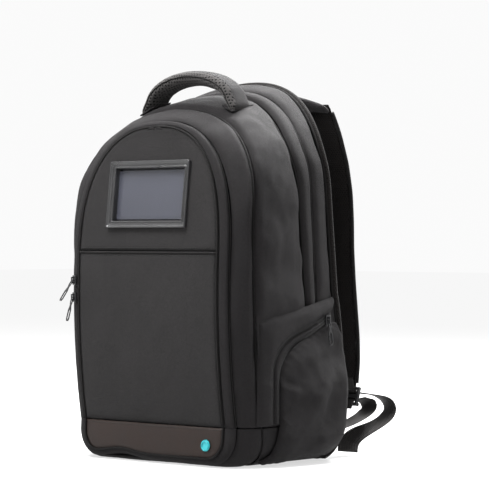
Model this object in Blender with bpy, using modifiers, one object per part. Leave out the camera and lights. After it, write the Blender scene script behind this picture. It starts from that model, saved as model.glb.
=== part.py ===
"""Solar backpack, built as separate sewn, moulded and electronic pieces.

Metres, +Z up. The front of the bag faces -Y and its back panel faces +Y.
The origin is under the middle of the bag, on the surface it stands on.
The soft pieces are plain solids here: panels, bands and straps of the true size.
"""

import math
from dataclasses import astuple, dataclass

import bmesh
import bpy
from mathutils import Matrix, Vector

# ---------------------------------------------------------------- driving dimensions

GAP = 0.0005            # between pieces that are sewn or clipped together
WALL = 0.003            # padded fabric walls
BAND_TOP = 0.047        # top of the base tray and of the trim band
CROSS_SEAM = 0.253      # seam between the two front panels
CORNER = 0.035          # radius of the bag's lower corners

EDGE_DROP = 0.0066      # how far the front's rim lies behind its flat middle

WINDOW = (0.1310, 0.0812)       # outside of the window frame
WINDOW_OPENING = (0.1150, 0.0600)
WINDOW_MIDDLE_Z = 0.3208
WINDOW_LEAN = math.radians(6.4)
FRAME_DEPTH = 0.012

STRAP_WIDTH = 0.065
STRAP_THICK = 0.011
STRAP_X = 0.0850
WEBBING_WIDTH = 0.025
WEBBING_THICK = 0.0016

HANDLE_SPAN = 0.078     # half the distance between the handle's sewn ends
HANDLE_Y = 0.010
HANDLE_BASE = 0.4335
HANDLE_RISE = 0.038
HANDLE_WIDTH = 0.034

PACK_X = -0.045         # battery pack, in its sleeve behind the front cover
PACK_SIZE = (0.068, 0.0150, 0.112)
PACK_BASE_Z = 0.063
PACK_Y = -0.0598
BUTTON_TRAVEL = 0.0008

PULL_LENGTH = 0.030


@dataclass
class Seam:
    """A closed arch outline that runs round the bag, and how far back it lies."""

    half_width: float
    top: float
    spring: float           # height where the arch begins
    bottom: float = 0.0
    corner: float = CORNER
    power: float = 2.1      # 2 is an ellipse, and more is squarer

    def inset(self, by):
        return Seam(self.half_width - by, self.top - by, self.spring,
                    self.bottom + by, self.corner - by, self.power)


COVER = Seam(0.1130, 0.4020, 0.250, bottom=0.010, corner=0.024, power=2.4)     # edge of the front cover
RIM = Seam(0.1290, 0.4100, 0.250, bottom=0.0015, power=2.4)                    # outer edge of the front zip
PIPED = Seam(0.147, 0.4265, 0.310)
MOUTH_FRONT = Seam(0.150, 0.444, 0.320)
MOUTH_REAR = Seam(0.148, 0.452, 0.330)
BACK = Seam(0.145, 0.460, 0.330)


def front_y(z):
    """The front face: upright at a height of 0.2, curving back above and below, then a straight foot."""
    foot = max(0.0, BAND_TOP - z)
    return (-0.0835 + 0.46 * max(0.0, z - 0.20) ** 2
            + 0.52 * max(0.0, 0.20 - max(z, BAND_TOP)) ** 2 - 0.06 * foot)


def rim_y(z):
    return front_y(z) + EDGE_DROP


def piped_y(z):
    return -0.052 + 0.32 * max(0.0, 0.25 - z) ** 2 + 2.1 * max(0.0, z - 0.30) ** 2


def mouth_front_y(z):
    return 0.040 - 0.10 * (max(z, 0.10) - 0.19) + 5.5 * max(0.0, z - 0.36) ** 2


def mouth_rear_y(z):
    return 0.0595 - 0.07 * (max(z, 0.10) - 0.19) + 4.2 * max(0.0, z - 0.37) ** 2


def back_y(z):
    lumbar = 0.012 * math.sin(math.pi * min(1.0, max(0.0, (0.20 - z) / 0.21))) ** 0.8
    return 0.092 + lumbar - 0.10 * max(0.0, z - 0.20) + 4.0 * max(0.0, z - 0.36) ** 2


# ---------------------------------------------------------------- materials and objects

COLOURS = {
    "fabric": ((0.040, 0.039, 0.039, 1), 0.85),
    "gusset_fabric": ((0.045, 0.043, 0.045, 1), 0.85),
    "trim_leather": ((0.050, 0.037, 0.033, 1), 0.55),
    "frame_leather": ((0.035, 0.035, 0.036, 1), 0.45),
    "clear_film": ((0.30, 0.32, 0.36, 0.35), 0.08),
    "solar_cell": ((0.055, 0.060, 0.080, 1), 0.20),
    "board": ((0.10, 0.10, 0.11, 1), 0.60),
    "zip_tape": ((0.018, 0.017, 0.017, 1), 0.80),
    "zip_metal": ((0.030, 0.030, 0.032, 1), 0.35),
    "mesh": ((0.012, 0.011, 0.011, 1), 0.90),
    "webbing": ((0.030, 0.028, 0.027, 1), 0.60),
    "lining": ((0.080, 0.080, 0.085, 1), 0.80),
    "plastic": ((0.020, 0.020, 0.021, 1), 0.40),
    "circuit": ((0.020, 0.120, 0.050, 1), 0.50),
    "cell_wrap": ((0.020, 0.060, 0.160, 1), 0.35),
    "badge": ((0.080, 0.600, 0.620, 1), 0.40),
    "lead": ((0.015, 0.015, 0.015, 1), 0.50),
}


def clear_scene():
    for item in list(bpy.data.objects):
        bpy.data.objects.remove(item, do_unlink=True)


def new_collection(name):
    made = bpy.data.collections.new(name)
    bpy.context.scene.collection.children.link(made)
    return made


def material(name):
    if name in bpy.data.materials:
        return bpy.data.materials[name]
    colour, rough = COLOURS[name]
    made = bpy.data.materials.new(name)
    made.use_nodes = True
    shader = made.node_tree.nodes["Principled BSDF"]
    shader.inputs["Base Color"].default_value = colour
    shader.inputs["Roughness"].default_value = rough
    shader.inputs["Metallic"].default_value = 0.6 if name == "zip_metal" else 0.0
    return made


def place(obj, finish, cutter=False):
    """Puts an object in the part's collection, or in the cutters'."""
    for owner in list(obj.users_collection):
        owner.objects.unlink(obj)
    (CUTTERS if cutter else PARTS).objects.link(obj)
    if cutter:
        obj.hide_render = True
        obj.display_type = "WIRE"
    else:
        obj.data.materials.clear()
        obj.data.materials.append(material(finish))
    return obj


def from_bmesh(name, shape, finish, cutter=False):
    data = bpy.data.meshes.new(name)
    bmesh.ops.recalc_face_normals(shape, faces=shape.faces)
    shape.to_mesh(data)
    shape.free()
    return place(bpy.data.objects.new(name, data), finish, cutter)


def box(name, size, middle, finish="", bevel=0.0, turn=None, cutter=False):
    """A bevelled box; turn is a rotation matrix about its middle."""
    shape = bmesh.new()
    bmesh.ops.create_cube(shape, size=1.0)
    bmesh.ops.scale(shape, vec=size, verts=shape.verts)
    obj = from_bmesh(name, shape, finish, cutter)
    obj.matrix_world = Matrix.Translation(middle) @ (turn or Matrix.Identity(4))
    if bevel:
        rounding = obj.modifiers.new("rounding", "BEVEL")
        rounding.width = bevel
        rounding.segments = 2
    return obj


def combine(obj, other, how):
    cut = obj.modifiers.new(how.lower(), "BOOLEAN")
    cut.operation = how
    cut.object = other
    cut.solver = "EXACT"
    return obj


def sweep(name, sections, finish, closed=False):
    """Skins closed sections of equal length, one after another, and caps the ends.

    The sections differ in width, depth and lean, which no modifier lofts between.
    """
    shape = bmesh.new()
    rings = [[shape.verts.new(point) for point in section] for section in sections]
    pairs = list(zip(rings, rings[1:]))
    if closed:
        pairs.append((rings[-1], rings[0]))
    for first, second in pairs:
        for i in range(len(first)):
            j = (i + 1) % len(first)
            shape.faces.new((first[i], first[j], second[j], second[i]))
    if not closed:
        shape.faces.new(list(reversed(rings[0])))
        shape.faces.new(rings[-1])
    return from_bmesh(name, shape, finish)


def tube(name, points, radius, finish, sides=2):
    """A round cord, piping or lead along a list of points."""
    data = bpy.data.curves.new(name, "CURVE")
    data.dimensions = "3D"
    data.bevel_depth = radius
    data.bevel_resolution = sides
    data.use_fill_caps = True
    data.resolution_u = 1
    line = data.splines.new("POLY")
    line.points.add(len(points) - 1)
    for knot, point in zip(line.points, points):
        knot.co = (*point, 1.0)
    return place(bpy.data.objects.new(name, data), finish)


# ---------------------------------------------------------------- outlines

STRAIGHT_STEPS = 5
ARCH_STEPS = 9
CORNER_STEPS = 5


def arch_side(seam, low, apex=True):
    """Half widths and heights up one side, from a height to the top of the arch."""
    points = []
    for step in range(STRAIGHT_STEPS):
        z = low + (seam.spring - low) * step / STRAIGHT_STEPS
        points.append((seam.half_width, z))
    for step in range(ARCH_STEPS + 1):
        turn = math.pi / 2 * step / ARCH_STEPS
        width = seam.half_width * math.cos(turn) ** (2 / seam.power) if step < ARCH_STEPS else 0.0
        z = seam.spring + (seam.top - seam.spring) * math.sin(turn) ** (2 / seam.power)
        points.append((width, z))
    return points if apex else points[:-1]


def foot_side(seam, high):
    """Half widths and heights round the lower corner, from the bottom up."""
    points = []
    for step in range(CORNER_STEPS + 1):
        turn = math.pi / 2 * step / CORNER_STEPS
        width = seam.half_width - seam.corner * (1 - math.sin(turn))
        z = seam.bottom + seam.corner * (1 - math.cos(turn))
        points.append((width, z))
    return points + [(seam.half_width, high)]


def over_top(side):
    """Left side up, over the apex and down the right side."""
    left = [(-width, z) for width, z in side]
    return left + list(reversed(side[:-1]))


def under_foot(side):
    """Left side down, along the bottom and up the right side."""
    left = [(-width, z) for width, z in reversed(side)]
    return left + side


def band(name, stations, path_of, finish, wall=WALL):
    """A fabric wall lofted through seams; each station is (seam, depth function, shift)."""
    outer = [path_of(seam) for seam, _, _ in stations]
    inner = [path_of(seam.inset(wall)) for seam, _, _ in stations]
    sections = []
    for i in range(len(outer[0])):
        out_points = []
        in_points = []
        for k, (_, depth, shift) in enumerate(stations):
            y = depth(outer[k][i][1]) + shift
            out_points.append((outer[k][i][0], y, outer[k][i][1]))
            in_points.append((inner[k][i][0], y, inner[k][i][1]))
        sections.append(out_points + list(reversed(in_points)))
    return sweep(name, sections, finish)


def slab(name, widths, depth, shift, thick, finish):
    """A sheet across the bag: rows of (half width, height) from the bottom up."""
    sections = []
    for width, z in widths:
        y = depth(z) + shift
        sections.append([(-width, y, z), (width, y, z), (width, y + thick, z), (-width, y + thick, z)])
    return sweep(name, sections, finish)


def between(first, second, part):
    return Seam(*(lerp(a, b, part) for a, b in zip(astuple(first), astuple(second))))


# ---------------------------------------------------------------- body of the bag


def gusset_path(seam):
    return over_top(arch_side(seam, BAND_TOP + GAP))


def tray_path(seam):
    return under_foot(foot_side(seam, BAND_TOP))


def make_gussets():
    """Fabric walls between the seams, each an arch that stands on the base tray."""
    behind_front = WALL + GAP
    piping_room = 0.0032
    belly = between(PIPED, MOUTH_FRONT, 0.5)
    belly = belly.inset(-0.002)
    band("front_gusset", [(RIM, rim_y, behind_front), (PIPED, piped_y, -piping_room)],
         gusset_path, "gusset_fabric")
    band("middle_gusset",
         [(PIPED, piped_y, piping_room),
          (belly, lambda z: (piped_y(z) + mouth_front_y(z)) / 2, 0.0),
          (MOUTH_FRONT, mouth_front_y, -GAP)],
         gusset_path, "gusset_fabric")
    band("main_zip_tape", [(MOUTH_FRONT, mouth_front_y, 0.0), (MOUTH_REAR, mouth_rear_y, 0.0)],
         gusset_path, "zip_tape")
    band("rear_gusset", [(MOUTH_REAR, mouth_rear_y, GAP), (BACK, back_y, -piping_room)],
         gusset_path, "gusset_fabric")


def make_tray():
    band("base_tray",
         [(RIM, rim_y, WALL + GAP), (PIPED, piped_y, 0.0), (MOUTH_FRONT, mouth_front_y, 0.0),
          (MOUTH_REAR, mouth_rear_y, 0.0), (BACK, back_y, 0.0)],
         tray_path, "gusset_fabric")


def make_piping():
    """Round piping in the valley of the front seam."""
    radius = 0.0016
    line = over_top(arch_side(PIPED.inset(radius), BAND_TOP + 2 * GAP))
    tube("front_piping", [(x, piped_y(z), z) for x, z in line], radius, "zip_tape")


def full_height(seam):
    """Rows of a sheet from the bottom of the bag to just under the arch's apex."""
    side = foot_side(seam, BAND_TOP)[:-1] + arch_side(seam, BAND_TOP, apex=False)
    return side + [(0.012, seam.top - 0.0004)]


def make_walls():
    """The padded back, and the two dividers that hang inside the bag."""
    inside = WALL + GAP
    slab("back_panel", full_height(BACK), back_y, GAP + 0.0016, 0.008, "lining")
    slab("front_pocket_back_wall", full_height(PIPED.inset(inside)), piped_y, 0.003, 0.002, "lining")
    divider = [(width, z) for width, z in full_height(BACK.inset(2 * inside)) if z < BACK.spring]
    slab("laptop_divider", divider, mouth_rear_y, 0.006, 0.005, "lining")


def make_back_pads():
    """Two mesh-covered pads on the back panel."""
    half = 0.050
    thick = 0.012
    heights = [z for _, z in arch_side(BACK, BAND_TOP)[:STRAIGHT_STEPS + 1]]
    for side, sign in (("left", -1), ("right", 1)):
        sections = []
        for z in heights:
            y = back_y(z) + 2 * GAP + 0.0016 + 0.008
            width = half - (0.008 if z in (heights[0], heights[-1]) else 0.0)
            middle = sign * 0.060
            sections.append([(middle - width, y, z), (middle + width, y, z),
                             (middle + width - 0.006, y + thick, z),
                             (middle - width + 0.006, y + thick, z)])
        sweep(f"back_pad_{side}", sections, "mesh")


# ---------------------------------------------------------------- front cover


def make_front_cover():
    seam = COVER.inset(GAP)
    steps = 6
    lower = [(seam.half_width, lerp(BAND_TOP + GAP, seam.spring, step / steps)) for step in range(steps + 1)]
    lower.append((seam.half_width, CROSS_SEAM - GAP))
    slab("front_panel_lower", lower, front_y, 0.0, WALL, "fabric")
    arch = [(width, z) for width, z in arch_side(seam, BAND_TOP, apex=False) if z > CROSS_SEAM]
    arch = [(seam.half_width, CROSS_SEAM)] + arch + [(0.010, seam.top - 0.0010)]
    upper = slab("front_panel_upper", arch, front_y, 0.0, WALL, "fabric")
    turn = Matrix.Rotation(-WINDOW_LEAN, 4, "X")
    hole = box("window_cutter", (WINDOW[0] + 2 * GAP, 0.06, WINDOW[1] + 2 * GAP), window_middle(),
               turn=turn, cutter=True)
    combine(upper, hole, "DIFFERENCE")
    make_trim_band()
    badge_z = 0.0255
    badge = round_disc("badge", 0.0068, 0.0012)
    badge.matrix_world = (Matrix.Translation((0.0890, front_y(badge_z) - 0.0014, badge_z))
                          @ Matrix.Rotation(math.radians(90 - 3.5), 4, "X"))


def make_trim_band():
    """The foot of the front: flat in the middle, with ends that turn back to the rim."""
    sections = []
    for width, z in foot_side(RIM.inset(GAP), BAND_TOP)[1:]:
        flat = min(COVER.half_width, width - 0.006)
        face = [(-width, rim_y(z), z), (-flat, front_y(z), z), (flat, front_y(z), z), (width, rim_y(z), z)]
        behind = [(x, y + WALL, z) for x, y, z in reversed(face)]
        sections.append(face + behind)
    sweep("trim_band", sections, "trim_leather")


def round_disc(name, radius, thick):
    shape = bmesh.new()
    bmesh.ops.create_cone(shape, cap_ends=True, segments=24, radius1=radius, radius2=radius, depth=thick)
    return from_bmesh(name, shape, "badge")


def zip_half(name, inner, outer):
    """One side of the front zip: a ribbon between two outlines, each with its share of the rim's drop."""
    sections = []
    paths = [(share, gusset_path(between(COVER, RIM, share))) for share in (inner, outer)]
    for i in range(len(paths[0][1])):
        face = []
        for share, path in paths:
            x, z = path[i]
            face.append((x, front_y(z) + share * EDGE_DROP, z))
        behind = [(x, y + WALL, z) for x, y, z in reversed(face)]
        sections.append(face + behind)
    sweep(name, sections, "zip_tape")


def make_front_zip():
    split = 0.02
    zip_half("zip_tape_cover_side", split, 0.5 - split)
    zip_half("zip_tape_body_side", 0.5 + split, 1.0)


def window_middle():
    """Middle of the front face of the window frame."""
    return Vector((0.0, front_y(WINDOW_MIDDLE_Z) + 0.0020, WINDOW_MIDDLE_Z))


def at_window(depth):
    """A point on the window's axis, this far behind the frame's front face."""
    turn = Matrix.Rotation(-WINDOW_LEAN, 4, "X")
    proud = 0.0045
    return window_middle() + turn.to_3x3() @ Vector((0.0, depth - proud, 0.0)), turn


def make_solar_window():
    middle, turn = at_window(FRAME_DEPTH / 2)
    frame = box("window_frame", (WINDOW[0], FRAME_DEPTH, WINDOW[1]), middle, "frame_leather", 0.0015, turn)
    hole = box("opening_cutter", (WINDOW_OPENING[0], 0.04, WINDOW_OPENING[1]), middle, turn=turn, cutter=True)
    combine(frame, hole, "DIFFERENCE")
    inside = (WINDOW_OPENING[0] - 2 * GAP, WINDOW_OPENING[1] - 2 * GAP)
    layers = (("window_film", 0.0065, 0.0008, "clear_film"), ("solar_laminate", 0.0085, 0.0016, "solar_cell"))
    for name, depth, thick, finish in layers:
        middle, turn = at_window(depth)
        box(name, (inside[0], thick, inside[1]), middle, finish, 0.0, turn)
    middle, turn = at_window(FRAME_DEPTH + 0.0015)
    box("solar_backing", (WINDOW[0] - 0.004, 0.002, WINDOW[1] - 0.004), middle, "board", 0.0005, turn)
    middle, turn = at_window(FRAME_DEPTH + 0.0065)
    box("junction_box", (0.030, 0.007, 0.020), middle + Vector((0.030, 0, 0)), "plastic", 0.001, turn)


def make_solar_leads():
    """The solar panel's lead: down the cover to its foot, then up to a plug by the battery."""
    radius = 0.0014
    x = 0.030
    start = at_window(FRAME_DEPTH + 0.0065)[0].z - 0.0115
    heights = [start - step * (start - 0.060) / 14 for step in range(15)]
    line = []
    for z in heights:
        behind_window = min(1.0, max(0.0, (z - 0.258) / 0.018))
        line.append((x, front_y(z) + lerp(0.0052, 0.0175, behind_window), z))
    tube("solar_lead_upper", line, radius, "lead")
    low = [(x, -0.0600, 0.052), (x, -0.0560, 0.040), (0.022, -0.0555, 0.034), (0.012, -0.0560, 0.040),
           (0.008, -0.0575, 0.055), (0.008, -0.0600, 0.080), (0.008, -0.0605, 0.110)]
    tube("solar_lead_lower", low, radius, "lead")
    box("lead_plug", (0.009, 0.006, 0.018), (0.008, -0.0605, 0.1195 + GAP), "plastic", 0.001)


# ---------------------------------------------------------------- battery pack


def make_battery():
    wide, deep, tall = PACK_SIZE
    middle_z = PACK_BASE_Z + tall / 2
    shell = 0.0018
    half = deep / 2 - 0.0002
    for name, sign in (("battery_case_front", -1), ("battery_case_rear", 1)):
        y = PACK_Y + sign * (half / 2 + 0.0002)
        case = box(name, (wide, half, tall), (PACK_X, y, middle_z), "plastic", 0.0012)
        hollow = box(f"{name}_cutter", (wide - 2 * shell, half, tall - 2 * shell),
                     (PACK_X, y - sign * shell, middle_z), cutter=True)
        combine(case, hollow, "DIFFERENCE")
    box("battery_cell", (wide - 0.008, 0.0062, 0.078), (PACK_X, PACK_Y - 0.0012, PACK_BASE_Z + 0.043),
        "cell_wrap", 0.001)
    box("charge_board", (wide - 0.010, 0.0016, 0.020), (PACK_X, PACK_Y + 0.0015, PACK_BASE_Z + 0.097),
        "circuit")
    button_height = 0.0030
    button_z = PACK_BASE_Z + tall + BUTTON_TRAVEL + button_height / 2
    box("power_button", (0.010, 0.0050, button_height), (PACK_X + 0.018, PACK_Y, button_z),
        "plastic", 0.0005)
    sleeve_wall = 0.0012
    room = 0.0010
    outer = (wide + 2 * (room + sleeve_wall), deep + 2 * (room + sleeve_wall) - 0.0004, 0.085)
    sleeve_z = PACK_BASE_Z - room - sleeve_wall + outer[2] / 2
    sleeve = box("battery_sleeve", outer, (PACK_X, PACK_Y, sleeve_z), "lining")
    inner = box("sleeve_cutter", (wide + 2 * room, deep + 2 * room - 0.0004, 0.100),
                (PACK_X, PACK_Y, PACK_BASE_Z - room + 0.050), cutter=True)
    combine(sleeve, inner, "DIFFERENCE")


# ---------------------------------------------------------------- side pockets


def lerp(a, b, part):
    return a + (b - a) * part


def body_half_width(y, z):
    """Half width of the bag at a depth and height, between its seams."""
    stations = [(piped_y(z), PIPED), (mouth_front_y(z), MOUTH_FRONT), (mouth_rear_y(z), MOUTH_REAR),
                (back_y(z), BACK)]
    if y <= stations[0][0]:
        width = PIPED.half_width
    elif y >= stations[-1][0]:
        width = BACK.half_width
    else:
        for (y0, first), (y1, second) in zip(stations, stations[1:]):
            if y0 <= y <= y1:
                width = lerp(first.half_width, second.half_width, (y - y0) / (y1 - y0))
                break
    rise = max(0.0, CORNER - z)
    corner = CORNER - math.sqrt(max(0.0, CORNER ** 2 - rise ** 2))
    return width - corner


def along(points, part):
    """A point at a share of the length of a line of points."""
    lengths = [math.dist(a, b) for a, b in zip(points, points[1:])]
    goal = part * sum(lengths)
    for (a, b), length in zip(zip(points, points[1:]), lengths):
        if goal <= length:
            return tuple(lerp(p, q, goal / length) for p, q in zip(a, b))
        goal -= length
    return points[-1]


def pocket_zip_line(shift):
    """The side pocket's zip in depth and height: a short top run, a round corner and a long leg."""
    reach = 0.0775 + shift * 1.3
    line = [(0.0845, 0.1745 + shift), (0.0330 - shift * 0.3, 0.1555 + shift)]
    for step in range(1, 8):
        turn = math.radians(20 + 70 * step / 7)
        line.append((0.0330 - reach * (math.sin(turn) - math.sin(math.radians(20))) - shift * 0.3,
                     0.1555 - 0.052 * (math.cos(math.radians(20)) - math.cos(turn)) + shift))
    line.append((line[-1][0], 0.0500))
    return line


POCKET_STAND = 0.0042   # outer face of the pocket above the side wall
POCKET_WALL = 0.0022


def pocket_sheet(name, sign, outer_line, inner_line, belly, finish, steps=14, across=4):
    """A panel of the pocket between two lines, swelling out by belly in its middle."""
    sections = []
    for step in range(steps + 1):
        first = along(outer_line, step / steps)
        second = along(inner_line, step / steps)
        outside = []
        inside = []
        for k in range(across + 1):
            share = k / across
            y = lerp(first[0], second[0], share)
            z = lerp(first[1], second[1], share)
            swell = belly * math.sin(math.pi * share) * math.sin(math.pi * min(1.0, max(0.0, step / steps)))
            x = body_half_width(y, z) + POCKET_STAND + swell
            outside.append((sign * x, y, z))
            inside.append((sign * (x - POCKET_WALL), y, z))
        sections.append(outside + list(reversed(inside)))
    sweep(name, sections, finish)


def make_side_pockets():
    top_edge = [(0.0850, 0.1970), (-0.0440, 0.1720), (-0.0440, 0.0500)]
    rear_edge = [(0.0860, 0.1620), (0.0880, 0.0200), (0.0000, 0.0200), (-0.0050, 0.0400)]
    half_tape = 0.0045
    for side, sign in (("left", -1), ("right", 1)):
        room = half_tape + 3 * GAP
        outer = pocket_zip_line(room)
        inner = pocket_zip_line(-room)
        pocket_sheet(f"pocket_band_{side}", sign, top_edge, outer, 0.0, "gusset_fabric", steps=12, across=2)
        pocket_sheet(f"pocket_zip_{side}", sign, pocket_zip_line(half_tape), pocket_zip_line(-half_tape),
                     0.0, "zip_tape", across=1)
        pocket_sheet(f"pocket_panel_{side}", sign, inner, rear_edge, 0.007, "gusset_fabric")


# ---------------------------------------------------------------- zip sliders and pulls


def frame_at(origin, outward, upward):
    """A placing matrix whose y axis points outward and whose z axis points upward."""
    out = Vector(outward).normalized()
    up = Vector(upward)
    up = (up - out * up.dot(out)).normalized()
    side = out.cross(up)
    placed = Matrix((side, out, up)).transposed().to_4x4()
    placed.translation = Vector(origin)
    return placed


BAIL_HEIGHT = 0.0044    # the pull's hinge above the slider's underside


def make_slider(name, placed):
    """A slider body with a bridge on it, which a pull hangs from."""
    body = box(name, (0.0080, 0.0030, 0.0120), (0, 0, 0), "zip_metal", 0.0008)
    body.matrix_world = placed @ Matrix.Translation((0, 0.0015, 0))
    bridge = box(f"{name}_bridge", (0.0022, 0.0042, 0.0080), (0, 0, 0), cutter=True)
    bridge.matrix_world = placed @ Matrix.Translation((0, 0.0040, 0))
    slot = box(f"{name}_slot", (0.0100, 0.0020, 0.0044), (0, 0, 0), cutter=True)
    slot.matrix_world = placed @ Matrix.Translation((0, BAIL_HEIGHT, 0))
    combine(body, bridge, "UNION")
    combine(body, slot, "DIFFERENCE")


def make_pull(name, placed, swing):
    """A flat pull with an eye round the bridge and an open loop at its end."""
    data = bpy.data.curves.new(name, "CURVE")
    data.dimensions = "2D"
    data.fill_mode = "BOTH"
    data.extrude = 0.0005
    outline = [(-0.0026, 0.0007), (0.0026, 0.0007), (0.0026, -0.0075), (0.0015, -0.0100),
               (0.0036, -0.0160), (0.0036, -0.0270), (0.0020, -PULL_LENGTH), (-0.0020, -PULL_LENGTH),
               (-0.0036, -0.0270), (-0.0036, -0.0160), (-0.0015, -0.0100), (-0.0026, -0.0075)]
    eye = [(-0.0016, -0.0006), (0.0016, -0.0006), (0.0016, -0.0066), (-0.0016, -0.0066)]
    loop = [(0.0000, -0.0142), (0.0021, -0.0172), (0.0021, -0.0262), (0.0010, -0.0284),
            (-0.0010, -0.0284), (-0.0021, -0.0262), (-0.0021, -0.0172)]
    for ring in (outline, eye, loop):
        line = data.splines.new("POLY")
        line.points.add(len(ring) - 1)
        line.use_cyclic_u = True
        for knot, (x, y) in zip(line.points, ring):
            knot.co = (x, y, 0.0, 1.0)
    pull = place(bpy.data.objects.new(name, data), "zip_metal")
    upright = Matrix.Rotation(math.radians(90), 4, "X")
    pull.matrix_world = (placed @ Matrix.Translation((0, BAIL_HEIGHT, 0))
                         @ Matrix.Rotation(swing, 4, "X") @ upright)
    return pull


def make_zips():
    """Each slider and its pull: where it is, which way it faces and how far its pull stands out."""
    lift = 0.0008
    front_x = -(COVER.half_width + RIM.half_width) / 2
    pocket_y = 0.0725
    pocket_z = 0.1700
    pocket_x = body_half_width(pocket_y, pocket_z) + POCKET_STAND + lift
    mouth_x = -(MOUTH_FRONT.half_width + lift)

    def front(z):
        return (front_x, front_y(z) + EDGE_DROP / 2 - lift, z), (-0.35, -1, 0)

    def mouth(z):
        return (mouth_x, (mouth_front_y(z) + mouth_rear_y(z)) / 2, z), (-1, 0, 0)

    places = {
        "front_upper": (*front(0.2170), 33.0),
        "front_lower": (*front(0.1960), 14.0),
        "main_upper": (*mouth(0.3020), 8.0),
        "main_lower": (*mouth(0.2700), 8.0),
        "pocket_left": ((-pocket_x, pocket_y, pocket_z), (-1, 0, 0), 6.0),
        "pocket_right": ((pocket_x, pocket_y, pocket_z), (1, 0, 0), 6.0),
    }
    for name, (origin, outward, swing) in places.items():
        placed = frame_at(origin, outward, (0, 0, 1))
        make_slider(f"slider_{name}", placed)
        make_pull(f"pull_{name}", placed, math.radians(swing))


# ---------------------------------------------------------------- handle, straps and webbing


def ribbon(name, points, width_axis, width, thick, finish):
    """A flat band along points, as wide as width along width_axis."""
    path = [Vector(point) for point in points]
    sections = []
    for i, point in enumerate(path):
        ahead = path[min(i + 1, len(path) - 1)] - path[max(i - 1, 0)]
        side = Vector(width_axis[i] if isinstance(width_axis, list) else width_axis)
        side = (side - ahead.normalized() * side.dot(ahead.normalized())).normalized()
        up = ahead.normalized().cross(side) * (thick / 2)
        side = side * (width / 2)
        sections.append([point - side - up, point + side - up, point + side + up, point - side + up])
    return sweep(name, sections, finish)


def handle_line(shrink):
    """The handle's arch in the plane of the bag's front."""
    line = []
    for step in range(17):
        turn = math.pi * step / 16
        x = -(HANDLE_SPAN - shrink) * math.cos(turn)
        line.append((x, HANDLE_Y, HANDLE_BASE + (HANDLE_RISE - shrink) * math.sin(turn) ** 1.1))
    return line


def make_handle():
    """The top handle: a smooth fabric upper over a mesh-covered pad."""
    upper_thick = 0.0048
    pad_thick = 0.0042
    ribbon("handle_upper", handle_line(0.0), (0, 1, 0), HANDLE_WIDTH, upper_thick, "gusset_fabric")
    shrink = upper_thick / 2 + 2 * GAP + pad_thick / 2
    ribbon("handle_mesh_pad", handle_line(shrink)[1:-1], (0, 1, 0), HANDLE_WIDTH, pad_thick, "mesh")


STRAP_LINE = ((0.1250, 0.4250), (0.1330, 0.4120), (0.1420, 0.3950), (0.1555, 0.3600), (0.1630, 0.3250),
              (0.1655, 0.2900), (0.1660, 0.2550), (0.1690, 0.2150), (0.1730, 0.1800), (0.1785, 0.1450),
              (0.1815, 0.1150), (0.1810, 0.0880))


def make_straps():
    """Padded shoulder straps, in one long S from the yoke to their lower ends."""
    for side, sign in (("left", -1), ("right", 1)):
        points = [(sign * STRAP_X, y, z) for y, z in STRAP_LINE]
        ribbon(f"shoulder_strap_{side}", points, (1, 0, 0), STRAP_WIDTH, STRAP_THICK, "mesh")
    make_yoke()


def make_yoke():
    """The patch that the straps are sewn under: arched with the top of the back."""
    thick = 0.005
    steps = 12
    sections = []
    for step in range(steps + 1):
        x = lerp(-0.1160, 0.1160, step / steps)
        high = 0.4510 - 1.60 * x * x
        low = 0.4300 - 0.30 * x * x
        y_high = max(back_y(high) + 0.0130, 0.1060)
        y_low = 0.1180
        sections.append([(x, y_high, high), (x, y_low, low),
                         (x, y_low + thick, low), (x, y_high + thick, high)])
    sweep("yoke", sections, "gusset_fabric")


def mirrored(source, name, finish):
    """A mirror image of a solid, on the other side of the bag."""
    data = source.data.copy()
    data.materials.clear()
    data.transform(Matrix.Scale(-1, 4, (1, 0, 0)))
    data.flip_normals()
    return place(bpy.data.objects.new(name, data), finish)


def make_webbing():
    """Lower webbing on each side: a slack run sewn to the bag, a ladder lock and a loose tail."""
    run = [(0.1230, 0.1130, 0.0345), (0.1205, 0.1330, 0.0365), (0.1190, 0.1500, 0.0390),
           (0.1175, 0.1680, 0.0430), (0.1165, 0.1850, 0.0480), (0.1150, 0.1990, 0.0540),
           (0.1120, 0.2045, 0.0600), (0.1090, 0.2010, 0.0650), (0.1060, 0.1940, 0.0680)]
    tail = [(0.1052, 0.1942, 0.0746), (0.1141, 0.2048, 0.0733), (0.1247, 0.2122, 0.0688),
            (0.1333, 0.2151, 0.0619), (0.1379, 0.2131, 0.0536), (0.1383, 0.2058, 0.0452),
            (0.1341, 0.1932, 0.0377), (0.1273, 0.1813, 0.0316), (0.1201, 0.1706, 0.0259),
            (0.1161, 0.1622, 0.0194), (0.1168, 0.1561, 0.0124), (0.1203, 0.1513, 0.0051)]
    edges = [Vector((0.8, -0.6, 0)).lerp(Vector((0.75, 0.66, 0)), min(1.0, max(0.0, i - 1) / 9))
             for i in range(len(tail))]
    for name, line, across in (("webbing_run", run, (1, 0, 0)), ("webbing_tail", tail, edges)):
        right = ribbon(f"{name}_right", line, across, WEBBING_WIDTH, WEBBING_THICK, "webbing")
        mirrored(right, f"{name}_left", "webbing")
    for side, sign in (("left", -1), ("right", 1)):
        make_ladder_lock(f"ladder_lock_{side}", sign)


def make_ladder_lock(name, sign):
    """A plastic ladder lock at the strap's end: a frame round two slots, with a lifting lip."""
    middle = Vector((sign * 0.0950, 0.1840, 0.0710))
    turn = Matrix.Rotation(math.radians(-18), 4, "X")
    lock = box(name, (0.0330, 0.0040, 0.0240), middle, "plastic", 0.0010, turn)
    for tag, shift in (("upper", 0.0055), ("lower", -0.0050)):
        slot = box(f"{name}_{tag}_cutter", (0.0262, 0.02, 0.0050),
                   middle + turn.to_3x3() @ Vector((0, 0, shift)), turn=turn, cutter=True)
        combine(lock, slot, "DIFFERENCE")


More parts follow.
